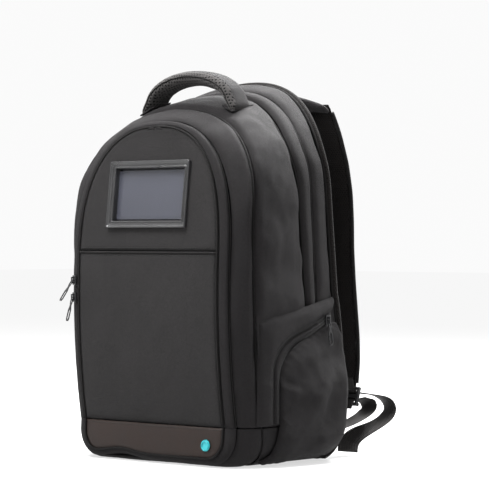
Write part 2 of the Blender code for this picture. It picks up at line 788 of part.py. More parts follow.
# ---------------------------------------------------------------- the whole bag

clear_scene()
PARTS = new_collection("solar_backpack")
CUTTERS = new_collection("cutters")

make_gussets()
make_tray()
make_piping()
make_walls()
make_back_pads()
make_front_cover()
make_front_zip()
make_solar_window()
make_solar_leads()
make_battery()
make_side_pockets()
make_zips()
make_handle()
make_straps()
make_webbing()
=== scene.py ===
"""Looks of the solar backpack: soft panels, zips, padding and materials round its CAD frame.

Metres, in the CAD's own frame. The front of the bag faces -Y, and +X is on the right of the view.
"""

import math
from contextlib import contextmanager
from dataclasses import astuple, dataclass

import bmesh
import bpy
import numpy as np
from mathutils import Matrix, Vector, noise
from mathutils.bvhtree import BVHTree


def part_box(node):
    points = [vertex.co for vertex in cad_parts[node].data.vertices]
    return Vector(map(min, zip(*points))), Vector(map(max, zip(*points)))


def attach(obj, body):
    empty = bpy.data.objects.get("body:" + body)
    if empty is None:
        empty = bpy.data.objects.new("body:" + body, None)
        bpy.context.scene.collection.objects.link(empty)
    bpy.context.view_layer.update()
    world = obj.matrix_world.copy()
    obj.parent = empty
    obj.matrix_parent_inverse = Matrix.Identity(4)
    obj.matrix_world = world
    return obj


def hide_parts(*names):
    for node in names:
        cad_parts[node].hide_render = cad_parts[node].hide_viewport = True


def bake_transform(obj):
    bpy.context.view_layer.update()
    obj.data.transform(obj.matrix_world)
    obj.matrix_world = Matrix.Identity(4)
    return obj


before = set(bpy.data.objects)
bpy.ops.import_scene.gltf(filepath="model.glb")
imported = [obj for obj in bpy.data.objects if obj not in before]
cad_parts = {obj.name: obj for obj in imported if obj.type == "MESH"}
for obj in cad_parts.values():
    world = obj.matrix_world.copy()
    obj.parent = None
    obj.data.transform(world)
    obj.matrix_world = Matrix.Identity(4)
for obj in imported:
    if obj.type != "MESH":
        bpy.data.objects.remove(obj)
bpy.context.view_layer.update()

SIDES = (("left", -1), ("right", 1))

# ---------------------------------------------------------------- camera, light and floor


FLOOR_HALF = 12.0
FLOOR_DROP = 0.0006


def make_stage():
    """A camera at the photograph's angle, a pale floor and soft studio light."""
    camera = bpy.data.objects.new("camera", bpy.data.cameras.new("camera"))
    bpy.context.scene.collection.objects.link(camera)
    camera.location = (1.983, -2.133, 0.272)
    camera.rotation_euler = (math.radians(89.78), 0.0, math.radians(41.67))
    camera.data.lens = 175.7
    camera.data.clip_end = 50.0
    bpy.context.scene.camera = camera
    make_floor()

    bpy.context.scene.view_settings.view_transform = "Standard"
    world = bpy.data.worlds.new("studio")
    world.use_nodes = True
    sky = world.node_tree.nodes["Background"]
    sky.inputs["Color"].default_value = (1.0, 1.0, 1.0, 1)
    sky.inputs["Strength"].default_value = 0.96
    bpy.context.scene.world = world
    area_light("key", (-0.9, -1.7, 2.0), (0.0, 0.0, 0.25), 1.6, 6.0)
    area_light("top", (-0.1, 1.0, 1.9), (0.0, 0.0, 0.38), 1.5, 225.0)
    area_light("cover", (-0.15, -0.42, 0.98), (0.0, -0.05, 0.40), 0.35, 16.0)


def make_floor():
    """Pale paper that glows a little, so that it stays as light as the backdrop."""
    data = bpy.data.meshes.new("floor")
    half = FLOOR_HALF
    corners = [(x, y, -FLOOR_DROP) for x, y in ((-half, -half), (half, -half), (half, half), (-half, half))]
    data.from_pydata(corners, [], [(0, 1, 2, 3)])
    floor = bpy.data.objects.new("floor", data)
    bpy.context.scene.collection.objects.link(floor)
    paper = bpy.data.materials.new("floor_paper")
    paper.use_nodes = True
    shader = paper.node_tree.nodes["Principled BSDF"]
    shader.inputs["Base Color"].default_value = (0.30, 0.30, 0.30, 1)
    shader.inputs["Roughness"].default_value = 0.8
    shader.inputs["Specular IOR Level"].default_value = 0.0
    shader.inputs["Emission Color"].default_value = (1.0, 1.0, 1.0, 1)
    shader.inputs["Emission Strength"].default_value = 0.64
    data.materials.append(paper)


def area_light(name, place, aim, size, power):
    """A square soft light, size metres wide, turned towards aim."""
    light = bpy.data.lights.new(name, "AREA")
    light.shape = "SQUARE"
    light.size = size
    light.energy = power
    lamp = bpy.data.objects.new(name, light)
    bpy.context.scene.collection.objects.link(lamp)
    lamp.location = place
    lamp.rotation_euler = (Vector(aim) - Vector(place)).to_track_quat("-Z", "Y").to_euler()


# ---------------------------------------------------------------- materials


class Nodes:
    """A short way to build one material's node tree."""

    def __init__(self, name, colour, rough):
        self.material = bpy.data.materials.new(name)
        self.material.use_nodes = True
        self.tree = self.material.node_tree
        self.shader = self.tree.nodes["Principled BSDF"]
        self.set("Base Color", (*colour, 1.0))
        self.set("Roughness", rough)

    def set(self, socket, value):
        """Sets one of the shader's own inputs."""
        self.shader.inputs[socket].default_value = value

    def add(self, kind, **values):
        """A new shader node of a kind, with its settings."""
        node = self.tree.nodes.new(f"ShaderNode{kind}")
        for key, value in values.items():
            setattr(node, key, value)
        return node

    def link(self, source, target):
        """Joins an output to an input."""
        self.tree.links.new(source, target)
        return target

    def math(self, operation, a, b=None):
        """One sum on numbers or on other nodes' outputs."""
        node = self.add("Math", operation=operation)
        for socket, value in zip(node.inputs, (a, b)):
            if value is None:
                continue
            if isinstance(value, (int, float)):
                socket.default_value = value
            else:
                self.link(value, socket)
        return node.outputs[0]

    def spread(self, value, low, high, to_low=0.0, to_high=1.0):
        """A value carried from one range to another."""
        node = self.add("MapRange")
        ends = {"From Min": low, "From Max": high, "To Min": to_low, "To Max": to_high}
        for socket, end in ends.items():
            node.inputs[socket].default_value = end
        self.link(value, node.inputs["Value"])
        return node.outputs["Result"]

    def noise(self, scale, detail=3.0, where=None):
        """Soft noise in the object's own space."""
        node = self.add("TexNoise")
        node.inputs["Scale"].default_value = scale
        node.inputs["Detail"].default_value = detail
        self.link(where or self.place(), node.inputs["Vector"])
        return node.outputs["Fac"]

    def place(self):
        """The object's own coordinates."""
        if not hasattr(self, "_place"):
            self._place = self.add("TexCoord").outputs["Object"]
        return self._place

    def flat(self):
        """Two coordinates in the cloth, in metres: the piece's own UVs."""
        if not hasattr(self, "_flat"):
            split = self.add("SeparateXYZ")
            self.link(self.add("TexCoord").outputs["UV"], split.inputs[0])
            self._flat = (split.outputs[0], split.outputs[1])
        return self._flat

    def boxed(self):
        """Two coordinates across whichever way the surface faces, for remeshed pieces."""
        source = self.add("TexCoord")
        at = self.add("SeparateXYZ")
        facing = self.add("SeparateXYZ")
        self.link(source.outputs["Object"], at.inputs[0])
        self.link(source.outputs["Normal"], facing.inputs[0])
        sideways = self.math("GREATER_THAN", self.math("ABSOLUTE", facing.outputs[0]), 0.65)
        upward = self.math("GREATER_THAN", self.math("ABSOLUTE", facing.outputs[2]), 0.70)
        across = self.blend(sideways, at.outputs[0], at.outputs[1])
        along = self.blend(upward, at.outputs[2], at.outputs[1])
        return across, along

    def blend(self, share, a, b):
        """A value between two others, by a share."""
        node = self.add("Mix", data_type="FLOAT")
        self.link(share, node.inputs["Factor"])
        self.link(a, node.inputs["A"])
        self.link(b, node.inputs["B"])
        return node.outputs["Result"]

    def colour_between(self, share, dark, light):
        """Colours the surface between dark and light, by a share."""
        node = self.add("Mix", data_type="RGBA")
        self.link(share, node.inputs["Factor"])
        node.inputs[6].default_value = (*dark, 1.0)
        node.inputs[7].default_value = (*light, 1.0)
        self.link(node.outputs[2], self.shader.inputs["Base Color"])
        return node.outputs[2]

    def bump(self, height, distance, strength=1.0):
        """Raises the surface by a height."""
        node = self.add("Bump")
        node.inputs["Strength"].default_value = strength
        node.inputs["Distance"].default_value = distance
        self.link(height, node.inputs["Height"])
        self.link(node.outputs["Normal"], self.shader.inputs["Normal"])

    def wave(self, coordinate, pitch):
        """A sine wave along a coordinate, one crest for each pitch."""
        return self.math("SINE", self.math("MULTIPLY", coordinate, 2 * math.pi / pitch))


def shade(colour, factor):
    """A lighter or darker version of a colour."""
    return tuple(channel * factor for channel in colour)


def woven(name, colour, rough=0.66, thread=0.0011, boxed=False, sheen=0.015):
    """Plain-woven polyester: over-and-under threads, slubs and faint fading, with painted shade between the
    threads and painted highlight on their crests.
    """
    made = Nodes(name, colour, rough)
    made.set("Sheen Weight", sheen)
    made.set("Sheen Roughness", 0.45)
    made.set("Specular IOR Level", 0.09)
    across, along = made.boxed() if boxed else made.flat()
    weave = made.math("MULTIPLY", made.wave(across, thread), made.wave(along, thread))
    slub = made.noise(420.0, 2.0)
    cloud = made.noise(16.0, 4.0)
    fleck = made.noise(760.0, 3.0)
    height = made.math("ADD", weave, made.math("MULTIPLY", slub, 1.4))
    grain = made.math("ADD", made.math("MULTIPLY", slub, 0.5), made.math("MULTIPLY", fleck, 0.5))
    # Painted shade and highlight: the weave's own height lightens the thread crests and darkens the hollows
    # between them.
    tone = made.math("ADD", made.math("MULTIPLY", weave, 0.16), made.math("MULTIPLY", grain, 0.75))
    tone = made.math("ADD", tone, made.math("MULTIPLY", cloud, 0.35))
    made.colour_between(made.spread(tone, 0.25, 0.85), shade(colour, 0.50), shade(colour, 1.60))
    made.link(made.spread(cloud, 0.3, 0.7, rough - 0.06, rough + 0.06), made.shader.inputs["Roughness"])
    made.bump(height, 0.00034, 0.85)
    return made.material


def air_mesh(name, colour, pitch=0.0030):
    """Spacer mesh: staggered round holes through a soft knitted face, the holes painted near black as the
    shade inside them.
    """
    made = Nodes(name, colour, 0.9)
    made.set("Sheen Weight", 0.05)
    made.set("Sheen Roughness", 0.5)
    made.set("Specular IOR Level", 0.06)
    across, along = made.boxed()
    diagonal = made.math("ADD", across, made.math("MULTIPLY", along, 0.577))
    other = made.math("SUBTRACT", across, made.math("MULTIPLY", along, 0.577))
    waves = made.math("ADD", made.wave(diagonal, pitch), made.wave(other, pitch))
    dots = made.math("ADD", waves, made.wave(along, pitch * 0.866))
    # Painted shade: the holes are coloured near black for the shade that falls inside them.
    hole_shade_share = made.spread(dots, 0.3, 1.6, 1.0, 0.0)
    made.colour_between(hole_shade_share, shade(colour, 0.06), shade(colour, 1.45))
    yarn = made.noise(900.0, 2.0)
    made.bump(made.math("ADD", hole_shade_share, made.math("MULTIPLY", yarn, 0.25)), 0.0007, 0.9)
    return made.material


def leather(name, colour, rough, grain=900.0, coat=0.0):
    """Leather-look trim: fine cells of grain, creases between them and uneven polish."""
    made = Nodes(name, colour, rough)
    made.set("Specular IOR Level", 0.22)
    made.set("Coat Weight", coat)
    made.set("Coat Roughness", 0.22)
    cells = made.add("TexVoronoi", feature="DISTANCE_TO_EDGE")
    cells.inputs["Scale"].default_value = grain
    made.link(made.place(), cells.inputs["Vector"])
    grain_height = made.spread(cells.outputs["Distance"], 0.0, 0.25)
    polish = made.noise(60.0, 4.0)
    made.colour_between(made.spread(polish, 0.3, 0.7), shade(colour, 0.86), shade(colour, 1.14))
    made.link(made.spread(polish, 0.3, 0.7, rough - 0.08, rough + 0.08), made.shader.inputs["Roughness"])
    made.bump(made.math("ADD", grain_height, made.math("MULTIPLY", made.noise(300.0), 0.6)), 0.00018, 0.6)
    return made.material


def ribbed(name, colour, rib, rough=0.7, across_rib=None, sheen=0.1):
    """Webbing or zip tape: ribs that run across it, and a finer rib along it, with painted shade in the
    troughs and painted highlight on the crests.
    """
    made = Nodes(name, colour, rough)
    made.set("Sheen Weight", sheen)
    made.set("Specular IOR Level", 0.12)
    along, across = made.flat()
    ribs = made.wave(along, rib)
    lines = made.wave(across, across_rib or rib * 1.7)
    height = made.math("ADD", ribs, made.math("MULTIPLY", lines, 0.7))
    # Painted shade and highlight: the ribs' height darkens the troughs and lightens the crests.
    tone = made.math("ADD", made.math("MULTIPLY", height, 0.2), made.noise(40.0))
    made.colour_between(made.spread(tone, 0.2, 0.9), shade(colour, 0.7), shade(colour, 1.3))
    made.bump(height, 0.00022, 0.8)
    return made.material


def moulded(name, colour, rough, metallic=0.0, grain=700.0):
    """Moulded plastic or lacquered metal: a fine texture, worn a little smoother in patches."""
    made = Nodes(name, colour, rough)
    made.set("Metallic", metallic)
    wear = made.noise(90.0, 3.0)
    made.colour_between(made.spread(wear, 0.35, 0.7), shade(colour, 0.9), shade(colour, 1.2))
    made.link(made.spread(wear, 0.3, 0.7, rough - 0.06, rough + 0.08), made.shader.inputs["Roughness"])
    made.bump(made.noise(grain, 2.0), 0.00008, 0.5)
    return made.material


def solar_face(name):
    """Thin-film cells: blue-grey stripes with fine pale scribe lines and two bus bars."""
    colour = (0.019, 0.0198, 0.027)
    made = Nodes(name, colour, 0.34)
    made.set("Coat Weight", 0.15)
    made.set("Coat Roughness", 0.12)
    split = made.add("SeparateXYZ")
    made.link(made.place(), split.inputs[0])
    scribe = made.spread(made.wave(split.outputs[0], 0.0071), 0.80, 1.0)
    bars = made.spread(made.wave(split.outputs[2], 0.0290), 0.97, 1.0)
    line = made.math("MAXIMUM", scribe, made.math("MULTIPLY", bars, 0.6))
    cloud = made.noise(22.0, 3.0)
    tone = made.math("ADD", made.math("MULTIPLY", line, 0.5), made.math("MULTIPLY", cloud, 0.5))
    made.colour_between(made.spread(tone, 0.15, 0.9), shade(colour, 0.82), (0.034, 0.036, 0.049))
    made.bump(line, 0.00003, 0.1)
    return made.material


def clear_film(name):
    """The window's clear film: mostly see-through, with a faint haze and ripple."""
    made = Nodes(name, (0.20, 0.21, 0.26), 0.10)
    made.set("Alpha", 0.06)
    made.set("Coat Weight", 0.45)
    made.set("Coat Roughness", 0.06)
    ripple = made.noise(30.0, 2.0)
    made.link(made.spread(ripple, 0.3, 0.7, 0.07, 0.16), made.shader.inputs["Roughness"])
    made.bump(ripple, 0.0001, 0.08)
    return made.material


def circuit(name):
    """A circuit board: green mask over copper tracks."""
    made = Nodes(name, (0.02, 0.13, 0.05), 0.4)
    split = made.add("SeparateXYZ")
    made.link(made.place(), split.inputs[0])
    tracks = made.math("MAXIMUM", made.wave(split.outputs[0], 0.004), made.wave(split.outputs[2], 0.005))
    made.colour_between(made.spread(tracks, 0.85, 0.95), (0.02, 0.12, 0.05), (0.10, 0.26, 0.08))
    made.bump(tracks, 0.0001, 0.4)
    return made.material


def badge_enamel(name):
    """Teal enamel, for the plain round badge and its ring."""
    made = Nodes(name, (0.02, 0.36, 0.40), 0.35)
    cloud = made.noise(300.0)
    made.colour_between(made.spread(cloud, 0.3, 0.7), (0.015, 0.31, 0.35), (0.03, 0.42, 0.46))
    made.bump(cloud, 0.00006, 0.4)
    return made.material


# The sides' black is darker than the front's: partly the cloth's own black, partly painted shade for the
# sides and folds that face away from the light.
FRONT_BLACK = (0.0180, 0.0170, 0.0173)
SHADED_SIDE_BLACK = (0.0130, 0.0119, 0.0125)


def make_materials():
    """Every finish, by the name that the pieces ask for."""
    return {
        "fabric": woven("front_fabric", FRONT_BLACK),
        "gusset_fabric": woven("gusset_fabric", SHADED_SIDE_BLACK),
        "pad_fabric": woven("pad_fabric", SHADED_SIDE_BLACK, boxed=True),
        # The straps' cloth is a darker copy of the sides' black: partly its own black, partly painted shade
        # for the straps behind the bag.
        "shaded_strap_fabric": woven("shaded_strap_fabric", shade(SHADED_SIDE_BLACK, 0.55), boxed=True, sheen=0.005),
        "trim_leather": leather("trim_leather", (0.0178, 0.0112, 0.0092), 0.52),
        "frame_leather": leather("frame_leather", (0.020, 0.020, 0.021), 0.34, 1200.0, coat=0.7),
        "clear_film": clear_film("window_clear_film"),
        "solar_cell": solar_face("solar_face"),
        "board": moulded("backing_board", (0.09, 0.09, 0.095), 0.6),
        # Zip tape near black: partly the tape's own black, partly painted shade so the grooves beside the
        # zip flaps read black.
        "zip_tape": ribbed("zip_tape_shaded_weave", (0.006, 0.0055, 0.0055), 0.0010),
        "coil": ribbed("zip_coil", (0.020, 0.020, 0.020), 0.0012, rough=0.42, across_rib=0.01),
        "piping": woven("piping_fabric", (0.0095, 0.0088, 0.0088), thread=0.0008),
        # Near-black cord with no sheen, laid in the seam grooves: partly real piping, partly painted shade
        # in the grooves.
        "seam_shade_cord": woven("seam_shade_cord_fabric", (0.004, 0.0036, 0.0036), thread=0.0008, sheen=0.0),
        "zip_metal": moulded("black_lacquer", (0.016, 0.016, 0.017), 0.30, 0.35),
        "mesh": air_mesh("air_mesh", (0.0060, 0.0052, 0.0050)),
        "handle_mesh": air_mesh("handle_air_mesh", (0.0300, 0.0285, 0.0280), pitch=0.0042),
        "webbing": ribbed("webbing_weave", (0.0210, 0.0196, 0.0192), 0.0018, rough=0.60, sheen=0.03),
        "lining": woven("lining_fabric", (0.075, 0.075, 0.080), boxed=True, thread=0.0009),
        "plastic": moulded("buckle_plastic", (0.014, 0.014, 0.015), 0.38),
        "circuit": circuit("circuit_mask"),
        "cell_wrap": moulded("cell_wrap_film", (0.03, 0.08, 0.20), 0.32),
        "badge": badge_enamel("badge_enamel"),
        "lead": moulded("lead_jacket", (0.013, 0.013, 0.013), 0.5),
        "thread": ribbed("sewing_thread", (0.030, 0.029, 0.029), 0.0009, rough=0.6),
    }


# ---------------------------------------------------------------- the bag's seams


@dataclass
class Seam:
    """A closed arch outline that runs round the bag."""

    half_width: float
    top: float
    spring: float
    bottom: float = 0.0
    corner: float = 0.035
    power: float = 2.1

    def inset(self, by):
        """The same seam, moved inward by a distance."""
        return Seam(self.half_width - by, self.top - by, self.spring,
                    self.bottom + by, self.corner - by, self.power)


BAND_TOP = 0.047
CROSS_SEAM = 0.253
EDGE_DROP = 0.0066
COVER = Seam(0.1130, 0.4020, 0.250, bottom=0.010, corner=0.024, power=2.4)
RIM = Seam(0.1290, 0.4100, 0.250, bottom=0.0015, power=2.4)
PIPED = Seam(0.147, 0.4265, 0.310)
MOUTH_FRONT = Seam(0.150, 0.444, 0.320)
MOUTH_REAR = Seam(0.148, 0.452, 0.330)
BACK = Seam(0.145, 0.460, 0.330)


def front_y(z):
    """The front of the bag at a height."""
    foot = np.maximum(0.0, BAND_TOP - z)
    low = np.maximum(0.0, 0.20 - np.maximum(z, BAND_TOP))
    return -0.0835 + 0.46 * np.maximum(0.0, z - 0.20) ** 2 + 0.52 * low ** 2 - 0.06 * foot


def rim_y(z):
    """The front rim's depth."""
    return front_y(z) + EDGE_DROP


def piped_y(z):
    """The piped seam's depth."""
    return -0.052 + 0.32 * np.maximum(0.0, 0.25 - z) ** 2 + 2.1 * np.maximum(0.0, z - 0.30) ** 2


def mouth_front_y(z):
    """The main opening's front seam."""
    return 0.040 - 0.10 * (np.maximum(z, 0.10) - 0.19) + 5.5 * np.maximum(0.0, z - 0.36) ** 2


def mouth_rear_y(z):
    """The main opening's rear seam."""
    return 0.0595 - 0.07 * (np.maximum(z, 0.10) - 0.19) + 4.2 * np.maximum(0.0, z - 0.37) ** 2


def back_y(z):
    """The back panel's seam."""
    lumbar = 0.012 * np.sin(math.pi * np.clip((0.20 - z) / 0.21, 0.0, 1.0)) ** 0.8
    return 0.092 + lumbar - 0.10 * np.maximum(0.0, z - 0.20) + 4.0 * np.maximum(0.0, z - 0.36) ** 2


def lerp(a, b, share):
    """A share of the way from one value to another."""
    return a + (b - a) * share


def between(first, second, share):
    """A seam a share of the way from one seam to another."""
    return Seam(*(lerp(a, b, share) for a, b in zip(astuple(first), astuple(second))))


def even(points, count):
    """The same line with evenly spaced points."""
    points = np.asarray(points, float)
    steps = np.linalg.norm(np.diff(points, axis=0), axis=1)
    travelled = np.concatenate([[0.0], np.cumsum(steps)])
    goals = np.linspace(0.0, travelled[-1], count)
    return np.stack([np.interp(goals, travelled, points[:, k]) for k in range(points.shape[1])], axis=1)


def arch(seam, low=BAND_TOP, count=161):
    """Left side up, over the top and down the right side, as (x, z)."""
    turns = np.linspace(0.0, math.pi / 2, 80)
    width = seam.half_width * np.cos(turns) ** (2 / seam.power)
    height = seam.spring + (seam.top - seam.spring) * np.sin(turns) ** (2 / seam.power)
    right = np.concatenate([[[seam.half_width, low]], np.stack([width, height], axis=1)])
    left = right * (-1, 1)
    return even(np.concatenate([left, right[::-1][1:]]), count)


def foot(seam, high=BAND_TOP, count=121):
    """Left side down, along the bottom and up the right side, as (x, z)."""
    turns = np.linspace(0.0, math.pi / 2, 24)
    width = seam.half_width - seam.corner * (1 - np.sin(turns))
    height = seam.bottom + seam.corner * (1 - np.cos(turns))
    right = np.concatenate([np.stack([width, height], axis=1), [[seam.half_width, high]]])
    left = (right * (-1, 1))[::-1]
    return even(np.concatenate([left, right]), count)


# ---------------------------------------------------------------- mesh tools


def link(obj, finish, body, replaced=()):
    """Adds a finished piece to the scene, on its body and standing for CAD nodes."""
    if obj.name not in bpy.context.scene.collection.all_objects:
        bpy.context.scene.collection.objects.link(obj)
    obj.data.materials.clear()
    obj.data.materials.append(MATERIALS[finish])
    if body:
        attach(obj, body)
    if replaced:
        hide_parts(*replaced)
    return obj


def skin(name, points, closed_u=False, closed_v=False):
    """A quad mesh over a grid of points, with UVs in metres along its two directions."""
    points = np.asarray(points, float)
    rows, columns = points.shape[:2]
    faces = []
    uvs = []
    along = np.zeros((rows + 1, columns + 1))
    across = np.zeros((rows + 1, columns + 1))
    wrapped = np.concatenate([points, points[:1]], axis=0)
    wrapped = np.concatenate([wrapped, wrapped[:, :1]], axis=1)
    along[1:] = np.cumsum(np.linalg.norm(np.diff(wrapped, axis=0), axis=2).mean(axis=1))[:, None]
    across[:, 1:] = np.cumsum(np.linalg.norm(np.diff(wrapped, axis=1), axis=2), axis=1)
    for i in range(rows if closed_u else rows - 1):
        for j in range(columns if closed_v else columns - 1):
            i2 = (i + 1) % rows
            j2 = (j + 1) % columns
            faces.append((i * columns + j, i2 * columns + j, i2 * columns + j2, i * columns + j2))
            for a, b in ((i, j), (i + 1, j), (i + 1, j + 1), (i, j + 1)):
                uvs.append((along[a, b], across[a, b]))
    data = bpy.data.meshes.new(name)
    data.from_pydata(points.reshape(-1, 3).tolist(), [], faces)
    layer = data.uv_layers.new(name="cut")
    layer.data.foreach_set("uv", np.asarray(uvs, np.float32).ravel())
    data.shade_smooth()
    data.update()
    return bpy.data.objects.new(name, data)


def normals_of(points, outward):
    """Unit normals of a grid, turned to the side that outward points to."""
    du = np.gradient(points, axis=0)
    dv = np.gradient(points, axis=1)
    normal = np.cross(du, dv)
    normal /= np.linalg.norm(normal, axis=2, keepdims=True) + 1e-12
    if (normal * outward(points)).sum() < 0:
        normal = -normal
    return normal


def from_axis(points):
    """Away from the bag's upright middle line."""
    away = points.copy()
    away[..., 1] = 0.0
    away[..., 2] -= 0.20
    return away


def towards(*direction):
    """An outward function that gives every point the same direction."""
    def outward(points):
        return np.broadcast_to(np.array(direction, float), points.shape)
    return outward


forward = towards(0, -1, 0)
backward = towards(0, 1, 0)
upward = towards(0, 0, 1)


def faces_out(obj, outward):
    """Flips a skin whose faces look inward."""
    data = obj.data
    middles, facing = face_layout(data)
    if (facing * outward(middles)).sum() < 0:
        data.flip_normals()
    return obj


def thicken(obj, thickness=0.0016, rounds=1):
    """Gives cloth its thickness, inward, and smooths it."""
    solid = obj.modifiers.new("thickness", "SOLIDIFY")
    solid.thickness = thickness
    solid.offset = -1.0
    if rounds:
        smooth = obj.modifiers.new("smooth", "SUBSURF")
        smooth.levels = rounds
        smooth.render_levels = rounds
    return obj


def sheet(name, points, outward, thickness=0.0016, rounds=1, **closed):
    """A grid of points made into cloth: skinned, facing outward, and given its thickness."""
    return thicken(faces_out(skin(name, points, **closed), outward), thickness, rounds)


def ripples(points, amount, scale, seed, stretch=(1.0, 1.0, 1.0)):
    """Smooth seeded wrinkles: one height for each point of a grid."""
    flat = points.reshape(-1, 3) * np.array(stretch) * scale
    shift = Vector((seed * 7.3, seed * 3.1, seed * 5.7))
    heights = [noise.fractal(Vector(p) + shift, 1.0, 2.0, 3) for p in flat]
    return np.array(heights).reshape(points.shape[:2]) * amount


def edge_distance(points):
    """How far each point of a grid lies from the grid's two long edges, in metres."""
    steps = np.linalg.norm(np.diff(points, axis=1), axis=2)
    run = np.concatenate([np.zeros((len(points), 1)), np.cumsum(steps, axis=1)], axis=1)
    return np.minimum(run, run[:, -1:] - run)


def puckers(points, amount, pitch, reach=0.007):
    """Small gathers that a line of stitches pulls into both long edges."""
    steps = np.linalg.norm(np.diff(points, axis=0), axis=2).mean(axis=1)
    run = np.concatenate([[0.0], np.cumsum(steps)])[:, None]
    beat = np.sin(run * 2 * math.pi / pitch + 1.7 * np.sin(run * 31.0))
    return amount * beat * np.exp(-edge_distance(points) / reach)


def seam_roll(points, depth, reach=0.0034, rear_depth=None):
    """Turns both long edges inward, as cloth does where it meets a seam."""
    share = np.linspace(0.0, 1.0, points.shape[1])[None, :]
    depths = np.where(share < 0.5, depth, depth if rear_depth is None else rear_depth)
    return -depths * np.exp(-(edge_distance(points) / reach) ** 1.5)


def tube(name, line, radius, finish, body, replaced=(), closed=False, sides=10):
    """A round cord or piping along a line, with UVs along it."""
    line = np.asarray(line, float)
    ahead = np.gradient(line, axis=0)
    if closed:
        ahead = np.roll(line, -1, axis=0) - np.roll(line, 1, axis=0)
    ahead /= np.linalg.norm(ahead, axis=1, keepdims=True) + 1e-12
    side = np.cross(ahead, (0.02, 1.0, 0.03))
    side /= np.linalg.norm(side, axis=1, keepdims=True)
    up = np.cross(side, ahead)
    turns = np.arange(sides) * 2 * math.pi / sides
    ring = side[:, None] * np.cos(turns)[None, :, None] + up[:, None] * np.sin(turns)[None, :, None]
    radii = np.broadcast_to(np.asarray(radius, float), (len(line),))
    points = line[:, None] + ring * radii[:, None, None]
    made = skin(name, points, closed_u=closed, closed_v=True)
    if not closed:
        cap_ends(made.data, len(line), sides)
    fix_normals(made.data)
    return link(made, finish, body, replaced)


@contextmanager
def edited(data):
    """A mesh opened for editing, and written back at the end."""
    shape = bmesh.new()
    shape.from_mesh(data)
    yield shape
    shape.to_mesh(data)
    shape.free()


def cap_ends(data, rows, columns):
    """Closes the two open ends of a tube's mesh."""
    with edited(data) as shape:
        shape.verts.ensure_lookup_table()
        for row in (0, rows - 1):
            shape.faces.new([shape.verts[row * columns + k] for k in range(columns)])
    data.shade_smooth()


def fix_normals(data):
    """Turns every face of a closed mesh outward."""
    with edited(data) as shape:
        bmesh.ops.recalc_face_normals(shape, faces=shape.faces)


def capped(name, rings):
    """A closed solid skinned over rings of equal length."""
    rings = np.asarray(rings)
    made = skin(name, rings, closed_v=True)
    cap_ends(made.data, *rings.shape[:2])
    fix_normals(made.data)
    return made


def mesh_points(obj):
    """Every vertex of an object's mesh, in a row each."""
    return np.array([tuple(vertex.co) for vertex in obj.data.vertices])


def move_points(obj, points):
    """Puts every vertex of an object's mesh in a new place."""
    obj.data.vertices.foreach_set("co", points.astype(np.float32).ravel())
    obj.data.update()


def face_layout(data):
    """Each face's middle and normal."""
    middles = np.array([face.center for face in data.polygons])
    return middles, np.array([face.normal for face in data.polygons])


def applied(obj):
    """Bakes an object's modifiers into its mesh."""
    if obj.name not in bpy.context.scene.collection.all_objects:
        bpy.context.scene.collection.objects.link(obj)
    bpy.context.view_layer.update()
    graph = bpy.context.evaluated_depsgraph_get()
    data = bpy.data.meshes.new_from_object(obj.evaluated_get(graph))
    obj.modifiers.clear()
    obj.data = data
    return obj


# ---------------------------------------------------------------- body walls


def wall_points(first, first_y, second, second_y, path, across=15, gap=0.0):
    """A grid between two seams: along the seam, then from the front seam to the rear one."""
    lines = []
    for share in np.linspace(0.0, 1.0, across):
        xz = path(between(first, second, share))
        front_line = path(first)[:, 1]
        rear_line = path(second)[:, 1]
        y = lerp(first_y(front_line) + gap, second_y(rear_line) - gap, share)
        lines.append(np.stack([xz[:, 0], y, xz[:, 1]], axis=1))
    return np.stack(lines, axis=1)


def puffed_wall(name, points, puff, body, replaced=(), finish="gusset_fabric", roll=0.0022, wrinkle=0.0007,
                seed=1, pucker=0.00025, outward=from_axis, flat_below=None, rear_roll=None):
    """A fabric wall: swollen between its seams, rolled into them, gathered and creased."""
    share = np.linspace(-1.0, 1.0, points.shape[1])[None, :]
    height = puff * (1 - np.abs(share) ** 2.4)
    height = height + seam_roll(points, roll, rear_depth=rear_roll)
    height = height + puckers(points, pucker, 0.011)
    height = height + ripples(points, wrinkle, 22.0, seed)
    if flat_below:
        height = height * np.clip((points[..., 2] - flat_below) / 0.03, 0.0, 1.0) ** 0.7
    points = points + normals_of(points, outward) * height[..., None]
    made = sheet(name, points, outward)
    return link(made, finish, body, replaced)


